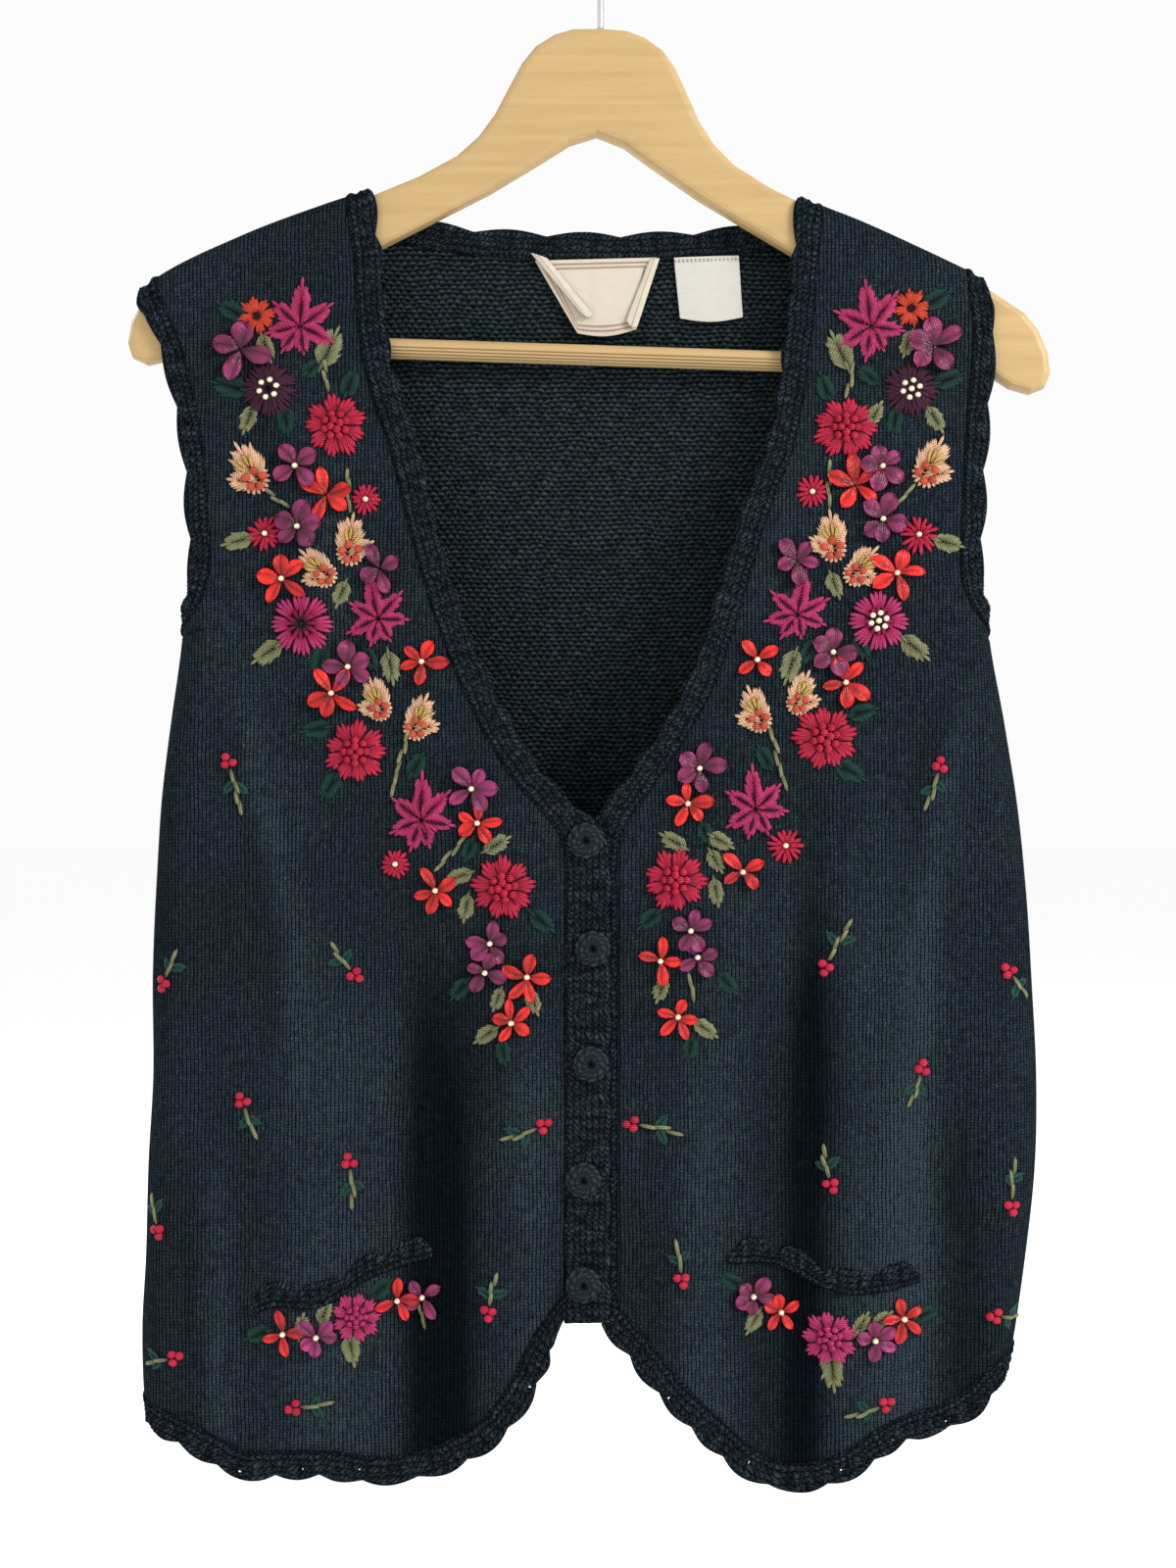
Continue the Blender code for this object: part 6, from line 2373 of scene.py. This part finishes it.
@dataclass
class Labels:
    """The two labels inside the back neck."""

    form: Form
    cream: Color = (0.92, 0.83, 0.66)
    white: Color = (0.88, 0.85, 0.77)
    brown: Color = (0.36, 0.15, 0.10)
    ink: Color = (0.16, 0.15, 0.15)
    wall: float = 0.5
    foot_arc: float = 0.07
    border_size: tuple[float, float] = (52.0, 35.0)
    border_lines: tuple[float, float] = (2.2, 4.2)
    border_width: float = 0.45
    border_tone: float = 0.85
    row_place: float = 0.06
    row_width: float = 0.022
    row_stitches: float = 16.0
    row_tone: float = 0.75

    def __post_init__(self) -> None:
        """Make the label cloth."""
        self.material = Woven().material()

    def inside(self, across: Grid, height: Grid, lift: Grid) -> Grid:
        """Points in front of the back's inner side.

        Args:
            across: places across, measured on the cloth.
            height: their heights.
            lift: how far they stand off.

        Returns:
            Points in millimetres.
        """
        points = self.form.surface(Side.BACK, across, height)
        normals = self.form.normals(Side.BACK, across, height)
        depth = self.form.knit_wall + self.form.laid_gap + lift
        return points - normals * np.asarray(depth)[..., None]

    def patch(self, corners: tuple, curl: Curl, tint_of: Callable[[Grid, Grid], Grid],
              steps: int = 40) -> Pile:
        """Thin patch between four corners, its foot a shallow arc: a sine's half wave.

        Args:
            corners: across and height of the upper left, upper right, lower left, lower right.
            curl: how far it stands off the cloth.
            tint_of: function of the shares over and down the patch that gives its colours.
            steps: points along each side.

        Returns:
            A pile with its closed wall.
        """
        corner = np.array(corners, dtype=float)
        shares = np.linspace(0, 1, steps)
        down, over = np.meshgrid(shares, shares, indexing="ij")
        upper = corner[0] + (corner[1] - corner[0]) * over[..., None]
        lower = corner[2] + (corner[3] - corner[2]) * over[..., None]
        spot = upper + (lower - upper) * down[..., None]
        tall = corner[0, 1] - corner[2, 1]
        spot[..., 1] -= self.foot_arc * tall * np.sin(math.pi * over) * down**2
        high = curl.lift(over, down)
        inner = self.inside(spot[..., 0], spot[..., 1], high)
        outer = self.inside(spot[..., 0], spot[..., 1], high + self.wall)
        return wall_pile(outer, inner, spot, tint_of(over, down))

    def bordered(self, over: Grid, down: Grid) -> Grid:
        """Cream with a plain double line near the edges.

        Args:
            over: shares of the way over the label.
            down: shares of the way down it.

        Returns:
            Colours, three values in the last place.
        """
        wide, tall = self.border_size
        edge = np.minimum(tall * np.minimum(down, 1.0 - down), wide * np.minimum(over, 1.0 - over))
        line = sum(bell(edge, place, self.border_width) for place in self.border_lines)
        return mixed(self.cream, self.brown, np.clip(line, 0.0, self.border_tone))

    def stitched(self, over: Grid, down: Grid) -> Grid:
        """White with a row of small stitches along the top.

        Args:
            over: shares of the way over the label.
            down: shares of the way down it.

        Returns:
            Colours, three values in the last place.
        """
        dash = np.sin(over * 2.0 * math.pi * self.row_stitches) > -0.1
        row = dash * bell(down, self.row_place, self.row_width)
        return mixed(self.white, self.ink, np.clip(row, 0.0, self.row_tone))

    def lined(self, over: Grid, down: Grid) -> Grid:
        """Cream with a single line down it."""
        return mixed(self.cream, self.brown, 0.5 * (np.abs(over - 0.45) < 0.05))

    def build(self) -> list[bpy.types.Object]:
        """Build the name label with its two folded corners, and the care label."""
        fold = Curl(1.9, 2.6, 0.8)
        plan = (
            # piece, corners, curl, colours, points along a side, CAD nodes replaced
            ("name_label_cloth", ((-32.0, -183.0), (28.0, -181.5), (-11.0, -219.0), (18.0, -217.0)),
             Curl(0.8, 2.2, 0.9, True), self.bordered, 90, ("name_label",)),
            ("name_label_fold_left",
             ((-34.0, -179.5), (-26.0, -182.0), (-10.5, -208.0), (-3.0, -210.5)),
             fold, self.lined, 40, ()),
            ("name_label_fold_right",
             ((24.5, -183.0), (29.5, -182.0), (13.0, -213.0), (18.5, -216.0)),
             fold, self.lined, 40, ()),
            ("care_label_cloth", ((36.5, -181.5), (68.5, -180.5), (39.5, -211.5), (70.5, -211.0)),
             Curl(0.5, 1.5, 0.5), self.stitched, 80, ("care_label",)),
        )
        return [
            self.patch(corners, curl, tint_of, steps).build(name, (self.material,), "label", *nodes)
            for name, corners, curl, tint_of, steps, nodes in plan
        ]


@dataclass
class Hanger:
    """Wooden hanger: the CAD board with its wood, a grooved bar and the wire hook."""

    form: Form
    bar_radius: float = 5.0
    bar_reach: float = 208.0
    bar_level: float = -159.0
    stations: int = 9
    grooves: int = 18
    groove_steps: int = 6
    groove_depth: float = 0.45
    grooved_from: float = 0.555
    grooved_to: float = 0.78
    wire_radius: float = 2.0
    hook_inside: float = 17.0
    foot_gap: float = 0.3

    def tube(self, centres: Grid, radii: Grid, frames: tuple[Grid, Grid],
             tints: Grid | None = None) -> Pile:
        """Round tube along a line of centres: each ring is radius times cosine and sine.

        Args:
            centres: points of the middle line.
            radii: radius of each ring at each of its points.
            frames: the two directions of each ring.
            tints: colours, or none.

        Returns:
            A pile with the closed tube.
        """
        rows, columns = radii.shape
        turn = full_turn(columns)
        first = frames[0][:, None, :] * (radii * np.cos(turn))[..., None]
        second = frames[1][:, None, :] * (radii * np.sin(turn))[..., None]
        points = centres[:, None, :] + first + second
        place = np.stack(np.broadcast_arrays(np.arange(rows)[:, None] * 1.0, turn), axis=-1)
        pile = Pile()
        tint = np.ones((rows, columns, 3)) if tints is None else tints
        pile.add(points, place, tint, grid_faces(rows, columns, False, True)[..., ::-1])
        pile.more_faces(np.arange(columns)[None, :], 0, 0)
        pile.more_faces(np.arange(columns)[None, ::-1] + (rows - 1) * columns, 0, 0)
        return pile

    def bar(self) -> bpy.types.Object:
        """Bar grooved low on its front: its radius dips by a narrow bell at each groove."""
        share = np.linspace(-1.0, 1.0, self.stations)
        ends = np.array([self.form.tilted(part * self.bar_reach, self.bar_level) for part in share])
        centres = np.stack((ends[:, 0], np.zeros(self.stations), ends[:, 1]), axis=1)
        columns = self.grooves * self.groove_steps
        place = np.arange(columns)
        share_round = place / columns
        grooved = (share_round > self.grooved_from) & (share_round < self.grooved_to)
        dip = bell(place / self.groove_steps % 1.0, 0.5, 0.2) * grooved
        radii = np.broadcast_to(self.bar_radius - self.groove_depth * dip, (self.stations, columns))
        # The stored level falls in the grooves, where the grooved wood paints shade.
        tints = np.broadcast_to((1.0 - dip)[None, :, None], (*radii.shape, 3))
        tilt = self.form.tilt
        deep = np.broadcast_to(np.array((0.0, 1.0, 0.0)), centres.shape)
        high = np.broadcast_to(np.array((math.sin(tilt), 0.0, math.cos(tilt))), centres.shape)
        pile = self.tube(centres, radii, (high, deep), tints)
        wood = Wood().material(True)
        return pile.build("hanger_bar_grooved", (wood,), "wood", "hanger_bar")

    def hook(self) -> bpy.types.Object:
        """Wire hook: up from the board, round to one side, over the top and down."""
        radius = self.hook_inside + self.wire_radius
        rows = [(0.0, self.form.board_top + self.foot_gap), (0.0, -58.0), (0.0, -48.0),
                (2.5, -42.0), (8.0, -37.0)]
        for angle in np.radians(np.linspace(-40.0, 205.0, 48)):
            rows.append((radius * math.cos(angle), radius * math.sin(angle) - self.hook_inside))
        line = np.array(rows)
        length = length_along(*line.T)
        fine = np.linspace(0.0, length[-1], 120)
        x, z = (np.interp(fine, length, part) for part in line.T)
        for part in (x, z):
            part[1:-1] = np.convolve(part, (0.25, 0.5, 0.25), "valid")
        centres = np.stack((x, np.zeros(len(x)), z), axis=1)
        ahead = np.gradient(centres, axis=0)
        ahead /= np.linalg.norm(ahead, axis=1, keepdims=True)
        deep = np.broadcast_to(np.array((0.0, 1.0, 0.0)), centres.shape)
        beside = np.cross(deep, ahead)
        radii = np.full((len(x), 16), self.wire_radius)
        radii[-3:] *= np.array((0.94, 0.75, 0.4))[:, None]
        steel = Plain("Polished wire", (0.60, 0.60, 0.61), 0.22, 1.0).material()
        pile = self.tube(centres, radii, (beside, deep))
        return pile.build("hanger_wire", (steel,), "wire", "hanger_hook")

    def build(self) -> list[bpy.types.Object]:
        """Dress the board and build the bar and the hook."""
        wood = Wood().material()
        for slot in frame["nodes"]["hanger_body"].material_slots:
            slot.material = wood
        return [self.bar(), self.hook()]


@dataclass
class Studio:
    """Floor, light and camera."""

    floor_height: float = -0.835
    floor_reach: float = 12.0
    camera_across: float = -0.0058
    camera_distance: float = 1.05
    camera_height: float = -0.441
    lens: float = 49.2
    world: float = 0.97

    def floor(self) -> None:
        """Large pale floor under the vest."""
        reach = self.floor_reach
        corners = np.array([(-reach, -reach), (reach, -reach), (reach, reach), (-reach, reach)])
        points = np.concatenate((corners, np.full((4, 1), self.floor_height)), axis=1)
        mesh = bpy.data.meshes.new("Floor")
        mesh.from_pydata(points.tolist(), [], [(0, 1, 2, 3)])
        mesh.materials.append(Plain("Pale floor", (0.985, 0.985, 0.985), 0.9).material())
        item = bpy.data.objects.new("Floor", mesh)
        bpy.context.scene.collection.objects.link(item)

    def lamp(self, name: str, place: tuple, turn: tuple, size: float, power: float) -> None:
        """Square area light at a place, turned by degrees about X, Y and Z.

        Args:
            name: name of the light.
            place: where it stands, in metres.
            turn: turns in degrees.
            size: length of its sides.
            power: power in watts.
        """
        light = bpy.data.lights.new(name, "AREA")
        light.shape = "SQUARE"
        light.size = size
        light.energy = power
        item = bpy.data.objects.new(name, light)
        item.location = place
        item.rotation_euler = tuple(math.radians(part) for part in turn)
        bpy.context.scene.collection.objects.link(item)

    def build(self) -> None:
        """Set the world, the lights and the camera."""
        self.floor()
        world = bpy.data.worlds.new("Pale world")
        world.use_nodes = True
        background = world.node_tree.nodes["Background"]
        background.inputs["Color"].default_value = (self.world, self.world, self.world, 1.0)
        background.inputs["Strength"].default_value = 1.0
        bpy.context.scene.world = world
        bpy.context.scene.view_settings.view_transform = "Standard"
        self.lamp("Key", (1.25, -0.85, 0.35), (62.0, 0.0, 56.0), 0.5, 26.0)
        self.lamp("Fill", (-1.0, -1.2, -0.1), (74.0, 0.0, -40.0), 0.9, 3.0)
        self.lamp("Rear", (-1.2, 0.9, 0.3), (64.0, 0.0, -127.0), 0.6, 18.0)
        camera = bpy.data.cameras.new("Camera")
        camera.lens = self.lens
        camera.sensor_width = 36.0
        camera.dof.use_dof = False
        item = bpy.data.objects.new("Camera", camera)
        item.location = (self.camera_across, -self.camera_distance, self.camera_height)
        item.rotation_euler = (math.pi / 2.0, 0.0, 0.0)
        bpy.context.scene.collection.objects.link(item)
        bpy.context.scene.camera = item


def declare_sheets() -> None:
    """Look up by name each front's edgings and embroidery, and the buttons with the right front's;
    nothing more is done with them.
    """
    objects = bpy.data.objects
    kinds = ("crochet_front_band", "crochet_hem_edging", "crochet_armhole_edging",
             "crochet_pocket_edging", "yarn", "knots", "ribbon", "beads")
    right, left = ([objects[f"{kind}_{side}"] for kind in kinds] for side in ("right", "left"))
    right += [objects[f"crochet_button_{number}"] for number in range(1, 6)]


def main() -> None:
    """Build every sub-assembly in order, and report its pieces."""
    logging.basicConfig(level=logging.INFO, format="%(message)s")
    form = Form()
    cloth = Cloth(form)
    made = Panels(cloth).build()
    made += Edgings(cloth).build()
    yarn = Thread().material()
    materials = {
        "yarn": yarn,
        "knots": yarn,
        "ribbon": Satin().material(),
        "beads": Plain("Pearl bead", PEARL, 0.2, 0.35, 0.6).material(),
    }
    right = Embroidery(form, Side.RIGHT, seed=7)
    made += right.build((RIGHT_SPRAY, RIGHT_POCKET, RIGHT_SPRIGS), materials)
    left = Embroidery(form, Side.LEFT, seed=11)
    made += left.build((LEFT_SPRAY, LEFT_POCKET, LEFT_SPRIGS), materials)
    made += Labels(form).build()
    made += Hanger(form).build()
    for item in made:
        faces = sum(len(polygon.vertices) - 2 for polygon in item.data.polygons)
        LOG.info("%s: %d triangles", item.name, faces)
    declare_sheets()
    Studio().build()


if __name__ == "__main__":
    main()
